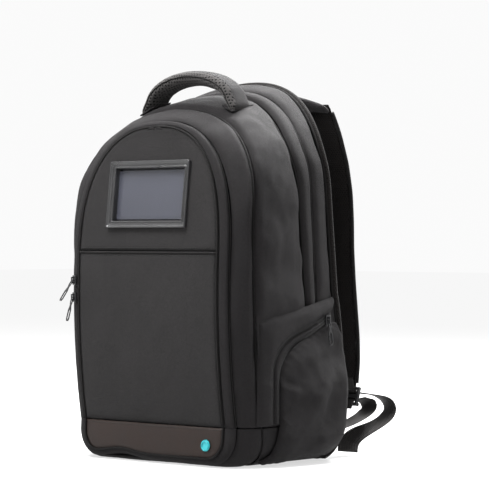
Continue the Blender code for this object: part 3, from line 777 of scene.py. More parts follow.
def make_walls():
    """The walls between the seams, over the arch and round the foot."""
    low = BAND_TOP + 0.0004

    def over(seam):
        """The seam's path over the arch."""
        return arch(seam, low)

    def under(seam):
        """The seam's path round the foot."""
        return foot(seam, BAND_TOP - 0.0004)

    front = wall_points(RIM, rim_y, PIPED, piped_y, over, gap=0.0017)
    puffed_wall("front_gusset_cloth", front, 0.0018, "bag", ["front_gusset"], seed=1, wrinkle=0.0018,
                rear_roll=0.0054)
    middle = wall_points(PIPED, piped_y, MOUTH_FRONT, mouth_front_y, over, across=25, gap=0.0015)
    puffed_wall("middle_gusset_cloth", middle, 0.0050, "bag", ["middle_gusset"], seed=2, wrinkle=0.0030,
                flat_below=0.165, roll=0.0054, rear_roll=0.0044)
    mouth = wall_points(MOUTH_FRONT, mouth_front_y, MOUTH_REAR, mouth_rear_y, over, across=11, gap=0.0010)
    puffed_wall("main_zip_flap", mouth, 0.0012, "bag", ["main_zip_tape"], seed=3, wrinkle=0.0005,
                roll=0.0038, rear_roll=0.0018)
    rear = wall_points(MOUTH_REAR, mouth_rear_y, BACK, back_y, over, across=15, gap=0.0012)
    puffed_wall("rear_gusset_cloth", rear, 0.0024, "bag", ["rear_gusset"], seed=4, wrinkle=0.0016,
                flat_below=0.185)
    base_front = wall_points(RIM, rim_y, PIPED, piped_y, under, gap=0.0014)
    puffed_wall("base_front_cloth", base_front, 0.0012, "bag", [], seed=5, wrinkle=0.0005)
    base_rear = wall_points(PIPED, piped_y, BACK, back_y, under, across=31, gap=0.0012)
    flat_bottom("base_cloth", base_rear)


def flat_bottom(name, points):
    """The base tray: its underside stays flat on the floor."""
    height = seam_roll(points, 0.0020) + ripples(points, 0.0010, 20.0, 6)
    height = height * np.clip((points[..., 2] - 0.001) / 0.02, 0.0, 1.0)
    points = points + normals_of(points, from_axis) * height[..., None]
    points[..., 2] = np.maximum(points[..., 2], 0.0)
    made = sheet(name, points, from_axis)
    link(made, "gusset_fabric", "bag", ["base_tray"])


def seam_line(seam, depth, path, shift=0.0):
    """The line of one seam as points in space."""
    xz = path(seam)
    return np.stack([xz[:, 0], depth(xz[:, 1]) + shift, xz[:, 1]], axis=1)


def ring(seam, depth, shift=0.0, lowest=0.002):
    """A seam's whole loop: over the arch and round the foot, clear of the floor."""
    over = seam_line(seam, depth, arch, shift)
    under = seam_line(seam, depth, foot, shift)
    loop = np.concatenate([over, under[::-1][1:-1]])
    loop[:, 2] = np.maximum(loop[:, 2], lowest)
    return loop


def make_piping():
    """Cords in the grooves of the seams, near black and without sheen, partly real piping and partly painted
    shade in the grooves; and the binding round the rear edge.
    """
    tube("seam_piping", ring(PIPED.inset(0.0034), piped_y), 0.0016, "seam_shade_cord", "bag", ["front_piping"],
         closed=True)
    for name, seam, depth, radius, finish in (
            ("front", MOUTH_FRONT.inset(0.0042), mouth_front_y, 0.0013, "seam_shade_cord"),
            ("rear", MOUTH_REAR.inset(0.0026), mouth_rear_y, 0.0012, "piping")):
        line = seam_line(seam, depth, arch)
        tube(f"mouth_seam_{name}", line, radius, finish, "bag")
    tube("rear_binding", ring(BACK.inset(0.0010), back_y, 0.0016), 0.0022, "piping", "bag", closed=True)
    tube("rim_piping", ring(RIM.inset(0.0030), rim_y, 0.0012), 0.0014, "seam_shade_cord", "bag", closed=True)


def make_seam_tapes():
    """Binding tape inside each seam, which closes the slit between the two walls it joins."""
    for name, seam, depth, first in (("rim", RIM, rim_y, 0.0005), ("piped", PIPED, piped_y, -0.006),
                                     ("mouth_front", MOUTH_FRONT, mouth_front_y, -0.006),
                                     ("mouth_rear", MOUTH_REAR, mouth_rear_y, -0.006),
                                     ("back", BACK, back_y, -0.011)):
        shifts = first + np.linspace(0.0, 0.0105, 4)
        lines = [ring(seam.inset(0.0064), depth, shift, 0.004) for shift in shifts]
        tape = sheet(f"seam_tape_{name}", np.stack(lines, axis=1), from_axis, 0.0010, 0, closed_u=True)
        link(tape, "gusset_fabric", "bag")


# ---------------------------------------------------------------- front cover and its zip


def rim_path(share, path):
    """A line between the cover's edge and the rim, with its share of the rim's drop."""
    xz = path(between(COVER, RIM, share))
    return np.stack([xz[:, 0], front_y(xz[:, 1]) + share * EDGE_DROP, xz[:, 1]], axis=1)


def rim_strip(name, shares, heights, path, finish, body, replaced=()):
    """A strip that follows the front's edge; heights says how far each line stands out."""
    lines = np.stack([rim_path(share, path) for share in shares], axis=1)
    lines = waved(lines + normals_of(lines, forward) * np.asarray(heights)[None, :, None])
    return link(sheet(name, lines, forward, 0.0012, 0), finish, body, replaced)


def make_front_zip():
    """A hidden zip: tapes and coil under a smooth flap, with a groove on each side of it."""
    share = np.linspace(0.02, 0.40, 6)
    rim_strip("zip_tape_on_cover", share, [-0.0022] * 6, arch, "zip_tape", "front_cover",
              ["zip_tape_cover_side"])
    coil = (-0.0018, -0.0010, -0.0008, -0.0010, -0.0018)
    rim_strip("zip_coil_on_cover", (0.410, 0.425, 0.45, 0.475, 0.490), coil, arch, "coil", "front_cover")
    rim_strip("zip_coil_on_body", (0.510, 0.525, 0.55, 0.58, 0.595), coil, arch, "coil", "bag")
    rim_strip("zip_tape_on_body", np.linspace(0.61, 0.97, 5), [-0.0022] * 5, arch, "zip_tape", "bag",
              ["zip_tape_body_side"])
    share = np.array([0.24, 0.25, 0.28, 0.36, 0.46, 0.56, 0.66, 0.76, 0.84, 0.88, 0.90])
    lift = np.array([-0.0012, -0.0002, 0.0004, 0.0008, 0.0011, 0.0013, 0.0014, 0.0012,
                     0.0005, -0.0004, -0.0016])
    rim_strip("zip_flap", share, lift, arch, "gusset_fabric", "bag")
    share = np.linspace(0.10, 1.0, 9)
    lift = (-0.0014, -0.0002, 0.0005, 0.0009, 0.0011, 0.0010, 0.0006, 0.0000, -0.0008)
    rim_strip("foot_roll", share, lift,
              foot, "gusset_fabric", "bag")
    edge = rim_path(0.06, arch) + (0, 0.0004, 0)
    tube("cover_piping", edge, 0.0012, "piping", "front_cover")
    edge = waved(rim_path(0.05, foot) + (0, 0.0002, 0))
    tube("foot_piping", edge, 0.0014, "piping", "bag")


def foot_wave(x, z):
    """How far the trim's lower edge is pushed up: one slack wave left of the middle."""
    low = np.clip((0.030 - z) / 0.018, 0.0, 1.0)
    return 0.0050 * np.exp(-((x + 0.052) / 0.030) ** 2) * low


def waved(points):
    points = points.copy()
    points[..., 2] += foot_wave(points[..., 0], points[..., 2])
    return points


def half_width_at(seam, z):
    """Half width of a seam's outline at each height."""
    if np.ndim(z) == 0:
        z = np.array([z])
    rise = np.clip((z - seam.spring) / (seam.top - seam.spring), 0.0, 1.0)
    upper = seam.half_width * (1 - rise ** seam.power) ** (1 / seam.power)
    drop = np.clip(seam.bottom + seam.corner - z, 0.0, seam.corner)
    corner = seam.corner - np.sqrt(seam.corner ** 2 - drop ** 2)
    return upper - corner


def panel_points(seam, low, high, rows, columns, crown, depth=front_y, power=0.9):
    """A crowned sheet inside a seam, between two heights: rows go up, columns go across."""
    turn = np.linspace(0.0, 1.0, rows)
    heights = low + (high - low) * (np.sin(turn * math.pi / 2) if high > seam.spring + 0.05 else turn)
    width = half_width_at(seam, heights)
    share = np.linspace(-1.0, 1.0, columns)
    share = np.sign(share) * np.abs(share) ** power
    x = width[:, None] * share[None, :]
    z = np.repeat(heights[:, None], columns, axis=1)
    y = depth(z) - crown * (1 - share[None, :] ** 2)
    return np.stack([x, y, z], axis=2)


def border_distance(points, low, high, seam):
    """Roughly how far each point is from the panel's sides, bottom and top, in metres."""
    width = half_width_at(seam, points[:, 0, 2])[:, None]
    sides = width - np.abs(points[..., 0])
    below = points[..., 2] - low
    above = np.where(high > seam.spring + 0.05, 1.0, high - points[..., 2])
    arch_gap = (seam.top - points[..., 2])
    return np.minimum(np.minimum(sides, below), np.minimum(above, arch_gap))


def cover_panel(name, seam, low, high, rows, seed, wrinkle, columns=71):
    """One cloth panel of the front: crowned, tucked in along its border and gently creased."""
    points = panel_points(seam, low, high, rows, columns, 0.0012)
    gap = border_distance(points, low, high, seam)
    height = -0.0016 * np.exp(-(np.maximum(gap, 0.0) / 0.0024) ** 1.3)
    height = height + ripples(points, wrinkle, 16.0, seed) * np.clip(gap / 0.02, 0.0, 1.0)
    points = waved(points + normals_of(points, forward) * height[..., None])
    made = faces_out(skin(name, points), forward)
    solid = made.modifiers.new("thickness", "SOLIDIFY")
    solid.thickness = 0.0022
    solid.offset = -1.0
    return made


def make_cover():
    """The hinged cover's two panels, the fold between them, and the leather trim below."""
    seam = COVER.inset(0.0004)
    lower = cover_panel("cover_cloth_lower", seam, BAND_TOP + 0.0004, CROSS_SEAM - 0.0003, 70, 11, 0.0011)
    link(lower, "fabric", "front_cover", ["front_panel_lower"])
    upper = cover_panel("cover_cloth_upper", seam, CROSS_SEAM + 0.0003, seam.top - 0.0002, 70, 12, 0.0004)
    cut_window(upper)
    link(upper, "fabric", "front_cover", ["front_panel_upper"])
    across = np.linspace(-0.1118, 0.1118, 90)
    height = CROSS_SEAM - 0.0012
    depth = front_y(height) - 0.0012 * (1 - (across / 0.113) ** 2) - 0.0002
    cross = np.stack([across, depth, np.full(90, height)], axis=1)
    tube("cross_seam_fold", cross, 0.0010, "fabric", "front_cover")
    trim = cover_panel("trim_leather_band", seam, COVER.bottom, BAND_TOP - 0.0002, 26, 13, 0.0009)
    link(trim, "trim_leather", "bag", ["trim_band"])
    cover_stitches(lower, upper, trim)


WINDOW = (0.1310, 0.0812)
WINDOW_MIDDLE_Z = 0.3208
WINDOW_LEAN = math.radians(6.4)


def window_matrix():
    """The window's own frame: x across, y into the bag, z up its face, from the middle of its front."""
    middle = Vector((0.0, float(front_y(WINDOW_MIDDLE_Z)) + 0.0020, WINDOW_MIDDLE_Z))
    turn = Matrix.Rotation(-WINDOW_LEAN, 4, "X")
    return Matrix.Translation(middle + turn.to_3x3() @ Vector((0, -0.0045, 0))) @ turn


def cut_window(panel):
    """Opens the upper panel for the window, a little inside the frame's edge."""
    shape = bmesh.new()
    bmesh.ops.create_cube(shape, size=1.0)
    data = bpy.data.meshes.new("window_cut")
    bmesh.ops.scale(shape, vec=(WINDOW[0] - 0.005, 0.05, WINDOW[1] - 0.005), verts=shape.verts)
    shape.to_mesh(data)
    shape.free()
    cutter = bpy.data.objects.new("window_cut", data)
    bpy.context.scene.collection.objects.link(cutter)
    cutter.matrix_world = window_matrix()
    cut = panel.modifiers.new("window", "BOOLEAN")
    cut.operation = "DIFFERENCE"
    cut.object = cutter
    applied(panel)
    bpy.data.objects.remove(cutter, do_unlink=True)


def rounded_rectangle(half_x, half_z, radius, steps=8, side=14):
    """A closed outline with round corners and evenly split sides."""
    line = []
    corners = ((1, 1, 0), (-1, 1, 90), (-1, -1, 180), (1, -1, 270))
    for cx, cz, start in corners:
        for step in range(steps + 1):
            turn = math.radians(start + 90 * step / steps)
            line.append((cx * (half_x - radius) + radius * math.cos(turn),
                         cz * (half_z - radius) + radius * math.sin(turn)))
    full = []
    for k, point in enumerate(line):
        full.append(point)
        ahead = line[(k + 1) % len(line)]
        if math.dist(point, ahead) > 3 * radius:
            full += [(lerp(point[0], ahead[0], s / side), lerp(point[1], ahead[1], s / side))
                     for s in range(1, side)]
    return full


def seen_from_front(line, piece):
    """Moves a line in x and z along -Y until it lies on a piece's front surface."""
    faces = [tuple(face.vertices) for face in piece.data.polygons]
    tree = BVHTree.FromPolygons([vertex.co for vertex in piece.data.vertices], faces)
    found = []
    for x, z in line:
        hit = tree.ray_cast(Vector((x, -0.3, z)), Vector((0, 1, 0)))[0]
        if hit:
            found.append(tuple(hit))
    return np.array(found)


def cover_stitches(lower, upper, trim):
    """Rows of stitches on both sides of the cross seam and under the trim's top edge."""
    across = np.linspace(-0.1085, 0.1085, 220)
    rows = (("stitches_below_fold", lower, CROSS_SEAM - 0.0048, "front_cover"),
            ("stitches_above_fold", upper, CROSS_SEAM + 0.0042, "front_cover"),
            ("stitches_on_trim", trim, BAND_TOP - 0.0030, "bag"))
    for name, piece, height, body in rows:
        line = seen_from_front([(x, height) for x in across], piece)
        stitches(name, line, (0, -1, 0), body)


def window_stitches():
    """One row of stitches along the middle of the window frame's flat land."""
    place = window_matrix()
    outline = rounded_rectangle(WINDOW[0] / 2 - 0.0046, WINDOW[1] / 2 - 0.0046, 0.0020)
    line = [tuple(place @ Vector((x, 0.0003, z))) for x, z in outline + outline[:1]]
    stitches("window_stitches", line, tuple(place.to_3x3() @ Vector((0, -1, 0))), "front_cover")


def badge_ring():
    """A plain raised ring round the face of the badge."""
    low, high = (np.array(corner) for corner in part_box("badge"))
    middle = (low + high) / 2
    turns = np.linspace(0.0, 2 * math.pi, 49)[:-1]
    ring_line = [(middle[0] + 0.0052 * math.cos(t), low[1] - 0.0001, middle[2] + 0.0052 * math.sin(t))
                 for t in turns]
    tube("badge_ring", ring_line, 0.0004, "badge", "bag", closed=True)


def make_window():
    """The pressed frame: an outer bead, a flat land, an inner bead and a deep well."""
    profile = [(0.0000, 0.0030), (0.0000, -0.0006), (0.0003, -0.0016), (0.0010, -0.0021), (0.0017, -0.0016),
               (0.0021, -0.0008), (0.0028, -0.0005), (0.0060, 0.0014), (0.0065, 0.0006), (0.0072, -0.0001),
               (0.0080, -0.0001), (0.0086, 0.0007), (0.0089, 0.0018), (0.0091, 0.0055), (0.0092, 0.0095),
               (0.0092, 0.0118)]
    place = window_matrix()
    loops = []
    for inset, depth in profile:
        radius = max(0.0030 - inset * 0.25, 0.0008)
        outline = rounded_rectangle(WINDOW[0] / 2 - inset, WINDOW[1] / 2 - inset, radius)
        loops.append([place @ Vector((x, depth, z)) for x, z in outline])
    points = np.array([[tuple(p) for p in loop] for loop in loops]).transpose(1, 0, 2)
    frame_piece = sheet("window_frame_moulding", points, forward, 0.0010, closed_u=True)
    link(frame_piece, "frame_leather", "front_cover", ["window_frame"])
    window_stitches()
    badge_ring()


# ---------------------------------------------------------------- side pockets


def body_half_width(y, z):
    """Half width of the bag at a depth and height, between its seams."""
    depths = [piped_y(z), mouth_front_y(z), mouth_rear_y(z), back_y(z)]
    widths = [seam.half_width for seam in (PIPED, MOUTH_FRONT, MOUTH_REAR, BACK)]
    width = np.interp(float(y), [float(d) for d in depths], widths)
    rise = max(0.0, 0.035 - z)
    return width - (0.035 - math.sqrt(max(0.0, 0.035 ** 2 - rise ** 2)))


def pocket_zip_line(shift):
    """The pocket's zip in depth and height: a short top run, a round corner and a long leg."""
    reach = 0.0775 + shift * 1.3
    line = [(0.0845, 0.1745 + shift), (0.0330 - shift * 0.3, 0.1555 + shift)]
    start = math.radians(20)
    for turn in np.radians(np.linspace(20, 90, 12))[1:]:
        line.append((0.0330 - reach * (math.sin(turn) - math.sin(start)) - shift * 0.3,
                     0.1555 - 0.052 * (math.cos(start) - math.cos(turn)) + shift))
    line.append((line[-1][0], 0.0500))
    return line


def pocket_grid(sign, outer, inner, rows, columns, stand_at):
    """A sheet on the side of the bag between two lines; stand_at gives how far it stands off."""
    outer = even(outer, rows)
    inner = even(inner, rows)
    points = np.zeros((rows, columns, 3))
    for i in range(rows):
        for j in range(columns):
            share = j / (columns - 1)
            y = lerp(outer[i, 0], inner[i, 0], share)
            z = lerp(outer[i, 1], inner[i, 1], share)
            points[i, j] = (sign * (body_half_width(y, z) + stand_at(share, y, z)), y, z)
    return points


def band_stand(share, y, z):
    """The pocket's upper band sinks into the front seam and fills out behind it."""
    rise = min(1.0, max(0.0, (y + 0.047) / 0.026))
    return 0.0008 + 0.0044 * rise * rise * (3 - 2 * rise)


def panel_stand(share, y, z):
    """The pocket's panel fills out towards the back, and most of all low down."""
    full = 0.0158 * min(1.0, max(0.0, (0.185 - z) / 0.100)) ** 0.8 * min(1.0, max(0.0, z / 0.034)) ** 0.5
    back = (share / 0.86) ** 0.9 if share < 0.86 else math.cos((share - 0.86) / 0.14 * math.pi / 2) ** 0.6
    return 0.0044 + full * back


def flap_stand(share, y, z):
    """The narrow roll of cloth that half covers the pocket's coil stands a little proud."""
    return 0.0034


def tape_stand(share, y, z):
    """The zip's tapes and coil lie close to the bag's side."""
    return 0.0020


def make_side_pockets():
    """A pocket on each side: an upper band, a bulging panel, and the zip between them."""
    top_edge = [(0.0890, 0.1985), (-0.0470, 0.1722), (-0.0470, 0.0480)]
    rear_edge = [(0.0890, 0.1660), (0.0960, 0.1500), (0.1015, 0.1250), (0.1055, 0.0900), (0.1045, 0.0420),
                 (0.0990, 0.0140), (0.0880, 0.0045), (0.0200, 0.0030), (-0.0300, 0.0035)]
    foot_run = [(-0.0185, 0.0300), (-0.0225, 0.0150), (-0.0340, 0.0055)]
    tape = 0.0046
    for side, sign in SIDES:
        outward = towards(sign, 0, 0)
        band = pocket_grid(sign, top_edge, pocket_zip_line(tape), 90, 21, band_stand)
        puffed_wall(f"pocket_band_cloth_{side}", band, 0.0014, "bag", [f"pocket_band_{side}"], seed=21,
                    wrinkle=0.0012, outward=outward, roll=0.0030)
        panel = pocket_grid(sign, pocket_zip_line(-tape) + foot_run, rear_edge, 110, 45, panel_stand)
        panel = panel + normals_of(panel, outward) * pocket_creases(panel)[..., None]
        puffed_wall(f"pocket_cloth_{side}", panel, 0.0008, "bag", [f"pocket_panel_{side}"], seed=22,
                    wrinkle=0.0024, outward=outward, roll=0.0030, pucker=0.0006)
        for name, low, high, lift, finish in (
                ("tape_outer", 0.0052, 0.0010, (0, 0, 0, 0, 0), "zip_tape"),
                ("coil", 0.0010, -0.0010, (0, 0.0005, 0.0007, 0.0005, 0), "coil"),
                ("tape_inner", -0.0010, -0.0052, (0, 0, 0, 0, 0), "zip_tape"),
                ("flap", 0.0035, -0.0035, (-0.0014, 0.0008, 0.0014, 0.0008, -0.0014), "gusset_fabric")):
            edges = [pocket_zip_line(low), pocket_zip_line(high)]
            if name == "flap":
                edges = [even(edge, 120)[18:] for edge in edges]
            stand = flap_stand if name == "flap" else tape_stand
            strip = pocket_grid(sign, *edges, 110, 5, stand)
            strip = strip + normals_of(strip, outward) * np.array(lift)[None, :, None]
            made = sheet(f"pocket_zip_{name}_{side}", strip, outward, 0.0010, 1 if name == "flap" else 0)
            link(made, finish, "bag", [f"pocket_zip_{side}"] if name == "coil" else ())


def pocket_creases(points):
    """Two soft pull lines across the pocket, as loose cloth takes from its corners."""
    y = points[..., 1]
    z = points[..., 2]
    height = np.zeros(y.shape)
    folds = (((0.085, 0.120), (-0.006, 0.020), -0.0044, 0.013),
             ((-0.018, 0.100), (0.020, 0.088), -0.0024, 0.005),
             ((0.070, 0.155), (0.010, 0.130), 0.0012, 0.010))
    for (y0, z0), (y1, z1), depth, width in folds:
        along = np.array([y1 - y0, z1 - z0])
        length = np.linalg.norm(along)
        along = along / length
        run = (y - y0) * along[0] + (z - z0) * along[1]
        off = -(y - y0) * along[1] + (z - z0) * along[0] + 0.004 * np.sin(run * 60)
        fade = np.exp(-((run / length - 0.5) / 0.42) ** 4)
        height = height - depth * np.exp(-(off / width) ** 2) * fade
        height = height + 0.6 * depth * np.exp(-((off - 1.6 * width) / width) ** 2) * fade
    return height


# ---------------------------------------------------------------- padded pieces


def section_loop(half_width, half_thick, sides=20, power=2.6):
    """A rounded flat cross-section: (across, through) pairs round a pad."""
    turns = np.arange(sides) * 2 * math.pi / sides
    across = half_width * np.sign(np.cos(turns)) * np.abs(np.cos(turns)) ** (2 / power)
    through = half_thick * np.sign(np.sin(turns)) * np.abs(np.sin(turns)) ** (2 / power)
    return np.stack([across, through], axis=1)


def across_and_through(line, width_axis):
    """Two directions at each point of a band's line: across its width, and through it."""
    ahead = np.gradient(line, axis=0)
    ahead /= np.linalg.norm(ahead, axis=1, keepdims=True)
    wide = np.broadcast_to(np.asarray(width_axis, float), line.shape)
    wide = wide - ahead * (wide * ahead).sum(axis=1, keepdims=True)
    wide = wide / np.linalg.norm(wide, axis=1, keepdims=True)
    return wide, np.cross(ahead, wide)


def padded_sweep(name, line, width_axis, half_widths, half_thicks, sides=20):
    """A closed pad along a line: its cross-section keeps its width along width_axis."""
    line = np.asarray(line, float)
    wides, thicks = across_and_through(line, width_axis)
    rings = []
    for spot, wide, thick, *halves in zip(line, wides, thicks, half_widths, half_thicks):
        loop = section_loop(*halves, sides)
        rings.append(spot + loop[:, :1] * wide + loop[:, 1:] * thick)
    return capped(name, rings)


def plumped(obj, voxel=0.005, pressure=4.0, cap=0.006, hold=None, frames=20):
    """Swells a closed pad with a short cloth simulation, then keeps the result as its mesh.

    A point moves cap at most, times hold(point), which is small along the seams.
    """
    remesh = obj.modifiers.new("remesh", "REMESH")
    remesh.mode = "VOXEL"
    remesh.voxel_size = voxel
    applied(obj)
    start = mesh_points(obj)
    moved = np.zeros(start.shape)
    cloth = obj.modifiers.new("cloth", "CLOTH")
    cloth.settings.use_pressure = True
    cloth.settings.uniform_pressure_force = pressure
    cloth.settings.effector_weights.gravity = 0.0
    cloth.point_cache.frame_start = 1
    cloth.point_cache.frame_end = frames
    for number in range(1, frames + 1):
        bpy.context.scene.frame_set(number)
    applied(obj)
    moved = mesh_points(obj) - start
    bpy.context.scene.frame_set(1)
    reach = np.linalg.norm(moved, axis=1, keepdims=True)
    moved = moved * np.minimum(1.0, cap / np.maximum(reach, 1e-9))
    if hold:
        moved = moved * hold(start)[:, None]
    move_points(obj, start + moved)
    obj.data.shade_smooth()
    smooth = obj.modifiers.new("smooth", "SUBSURF")
    smooth.levels = 1
    smooth.render_levels = 1
    return applied(obj)


def two_faced(obj, first, second, is_second, replaced):
    """Links a pad whose faces carry one of two cloths, chosen by where they are and face."""
    link(obj, first, None, replaced)
    obj.data.materials.append(MATERIALS[second])
    data = obj.data
    data.polygons.foreach_set("material_index", is_second(*face_layout(data)).astype(np.int32))
    data.shade_smooth()
    return obj


def stitches(name, line, lift, body, length=0.0026, gap=0.0014, radius=0.00030):
    """A row of stitches: short threads that dip at both ends."""
    line = np.asarray(line, float)
    total = np.linalg.norm(np.diff(line, axis=0), axis=1).sum()
    count = max(1, int(total / (length + gap)))
    dense = even(line, count * 6 + 1)
    lift = np.broadcast_to(np.asarray(lift, float), dense.shape)
    rings = []
    faces = []
    turns = np.arange(5) * 2 * math.pi / 5
    for k in range(count):
        run = dense[k * 6:k * 6 + 5]
        ahead = run[-1] - run[0]
        ahead /= np.linalg.norm(ahead) + 1e-12
        up = lift[k * 6] / np.linalg.norm(lift[k * 6])
        side = np.cross(ahead, up)
        base = len(rings)
        for step, point in enumerate(run):
            arch_up = math.sin(math.pi * step / 4)
            size = radius * (0.45 + 0.55 * arch_up)
            middle = point + up * radius * (0.2 + 0.9 * arch_up)
            rings += [tuple(middle + size * (side * math.cos(t) + up * math.sin(t))) for t in turns]
        for step in range(4):
            for t in range(5):
                a = base + step * 5 + t
                b = base + step * 5 + (t + 1) % 5
                faces.append((a, b, b + 5, a + 5))
        faces.append(tuple(base + t for t in range(4, -1, -1)))
        faces.append(tuple(base + 20 + t for t in range(5)))
    data = bpy.data.meshes.new(name)
    data.from_pydata(rings, [], faces)
    fix_normals(data)
    data.shade_smooth()
    layer = data.uv_layers.new(name="cut")
    spots = np.array([data.vertices[loop.vertex_index].co for loop in data.loops])
    layer.data.foreach_set("uv", spots[:, [0, 2]].astype(np.float32).ravel())
    return link(bpy.data.objects.new(name, data), "thread", body)


# ---------------------------------------------------------------- back of the bag

PAD_MIDDLE = 0.060
PAD_HALF = 0.047
PAD_STAND = 0.0160
PAD_LOW = 0.052
PAD_HIGH = 0.326
CHANNELS = (0.145, 0.236)


def make_back():
    """The padded back panel, its mesh edge, and its two plump pads with sewn channels."""
    seam = BACK.inset(0.0006)
    points = panel_points(seam, 0.0008, seam.top - 0.0004, 90, 61, -0.0010, back_y, 0.85)
    gap = border_distance(points, 0.0008, seam.top, seam)
    height = 0.0018 + 0.0066 * (1 - np.exp(-(np.maximum(gap, 0.0) / 0.006) ** 1.2))
    middle = np.exp(-(points[..., 0] / 0.013) ** 4) * np.clip((0.36 - points[..., 2]) / 0.02, 0.0, 1.0)
    height = height - 0.0022 * middle + ripples(points, 0.0005, 20.0, 31)
    points[..., 1] += height
    link(sheet("back_panel_mesh", points, backward, 0.0020, 0), "mesh", "bag", ["back_panel"])
    edge = ring(seam.inset(-0.0002), back_y, 0.0046, 0.0042)
    tube("back_mesh_edge", edge, 0.0040, "mesh", "bag", closed=True)
    for side, sign in SIDES:
        back_pad(side, sign)


def back_pad(side, sign):
    """One plump mesh pad with slanting sewn channels and a bound edge."""
    heights = np.linspace(PAD_LOW, PAD_HIGH, 30)
    end = np.minimum(heights - PAD_LOW, PAD_HIGH - heights)
    half = PAD_HALF - 0.010 * np.exp(-end / 0.008)
    thick = 0.0052 - 0.0012 * np.exp(-end / 0.006)
    line = np.stack([np.full(30, sign * PAD_MIDDLE), back_y(heights) + PAD_STAND, heights], axis=1)
    pad = padded_sweep(f"back_pad_cushion_{side}", line, (1, 0, 0), half, thick, 28)
    plumped(pad, 0.005, 4.0, 0.005, lambda points: (
        1 - np.minimum(1.0, np.abs(np.abs(points[:, 0]) - PAD_MIDDLE) / (PAD_HALF - 0.001)) ** 4))
    spots = mesh_points(pad)
    groove = sum(np.exp(-((spots[:, 2] - z - 0.06 * (np.abs(spots[:, 0]) - PAD_MIDDLE)) / 0.0035) ** 2)
                 for z in CHANNELS)
    rear = spots[:, 1] > back_y(spots[:, 2]) + PAD_STAND
    spots[:, 1] -= np.where(rear, 0.0042 * groove, 0.0)
    move_points(pad, spots)
    link(pad, "mesh", "bag", [f"back_pad_{side}"])
    outline = []
    for x, z in rounded_rectangle(PAD_HALF, (PAD_HIGH - PAD_LOW) / 2, 0.014, 8, 24):
        height = z + (PAD_HIGH + PAD_LOW) / 2
        outline.append((sign * PAD_MIDDLE + x, float(back_y(height)) + 0.0118, height))
    tube(f"back_pad_binding_{side}", outline, 0.0016, "piping", "bag", closed=True)


# ---------------------------------------------------------------- handle

HANDLE_SPAN = 0.0718
HANDLE_Y = 0.0055
HANDLE_BASE = 0.4335
HANDLE_RISE = 0.0375


HANDLE_HALF = 0.0180


def handle_line(shrink, count=41):
    """The handle's arch, with both ends turned out and down onto the top of the bag."""
    turns = np.linspace(0.0, math.pi, count)
    x = -(HANDLE_SPAN - shrink) * np.cos(turns)
    z = HANDLE_BASE + (HANDLE_RISE - shrink) * np.sin(turns) ** 1.1
    arch_part = np.stack([x, z], axis=1)
    foot_part = np.array([(HANDLE_SPAN + 0.0015, HANDLE_BASE - 0.0150),
                          (HANDLE_SPAN + 0.0008, HANDLE_BASE - 0.0085)])
    line = np.concatenate([foot_part * (-1, 1), arch_part[2:-2], foot_part[::-1]])
    return np.stack([line[:, 0], np.full(len(line), HANDLE_Y), line[:, 1]], axis=1)


def make_handle():
    """The carrying handle: a plump arch, smooth cloth over it and air mesh under it."""
    line = even(handle_line(0.0066, 81), 55)
    ends = np.minimum(np.arange(55), np.arange(55)[::-1]) / 54.0
    half = HANDLE_HALF + 0.0022 * np.exp(-ends / 0.06)
    thick = 0.0084 - 0.0056 * np.exp(-ends / 0.055)
    pad = padded_sweep("handle_padding", line, (0, 1, 0), half, thick, 24)
    plumped(pad, 0.0040, 4.0, 0.0016, lambda points: (
        1 - np.minimum(1.0, np.abs(points[:, 1] - HANDLE_Y) / HANDLE_HALF) ** 4))

    def underneath(middles, facing):
        """The faces that look down at the hand."""
        centre = np.array([0.0, HANDLE_Y, HANDLE_BASE - 0.030])
        inward = centre - middles
        inward[:, 1] = 0.0
        inward /= np.linalg.norm(inward, axis=1, keepdims=True)
        return ((facing * inward).sum(axis=1) > -0.25) | (facing[:, 1] < -0.35)

    two_faced(pad, "pad_fabric", "handle_mesh", underneath, ["handle_upper", "handle_mesh_pad"])
    lift_handle(pad)
    for tag, shift in (("front", -1), ("rear", 1)):
        edge = even(handle_line(0.0060, 81), 61)[2:-2]
        edge[:, 1] = HANDLE_Y + shift * HANDLE_HALF
        lift_handle(tube(f"handle_seam_{tag}", edge, 0.0007, "seam_shade_cord", None))
    for side, sign in SIDES:
        anchor_patch(side, sign)


def lift_handle(obj):
    """Bakes the handle piece's placement into its mesh."""
    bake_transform(obj)


def anchor_patch(side, sign):
    """The sewn-down end of the handle on the top of the bag."""
    rows = np.linspace(-0.004, 0.020, 9)
    columns = np.linspace(-0.0192, 0.0192, 15)
    points = np.zeros((9, 15, 3))
    for i, run in enumerate(rows):
        for j, off in enumerate(columns):
            y = HANDLE_Y + off
            x = sign * (HANDLE_SPAN - 0.009 + 0.75 * run)
            points[i, j] = (x, y, top_height(abs(x), y) + 0.0020 + 0.0022 * (1 - i / 8) ** 2)
    patch = sheet(f"handle_anchor_{side}", points, upward, 0.0024)
    link(patch, "gusset_fabric", "bag")


def top_height(x, y):
    """The height of the bag's top at a place across it and in its depth."""
    best = 0.0
    for share in np.linspace(0.0, 1.0, 25):
        seam = between(PIPED, MOUTH_FRONT, share)
        rise = (x / seam.half_width) ** seam.power
        z = seam.spring + (seam.top - seam.spring) * (1 - min(1.0, rise)) ** (1 / seam.power)
        depth = lerp(float(piped_y(z)), float(mouth_front_y(z)), share)
        if depth <= y:
            best = z
    return best + 0.0048


# ---------------------------------------------------------------- shoulder straps and webbing

STRAP_X = 0.0850
STRAP_LINE = ((0.1250, 0.4250), (0.1330, 0.4120), (0.1420, 0.3950), (0.1555, 0.3600), (0.1630, 0.3250),
              (0.1655, 0.2900), (0.1660, 0.2550), (0.1690, 0.2150), (0.1730, 0.1800), (0.1785, 0.1450),
              (0.1815, 0.1150), (0.1810, 0.0880))


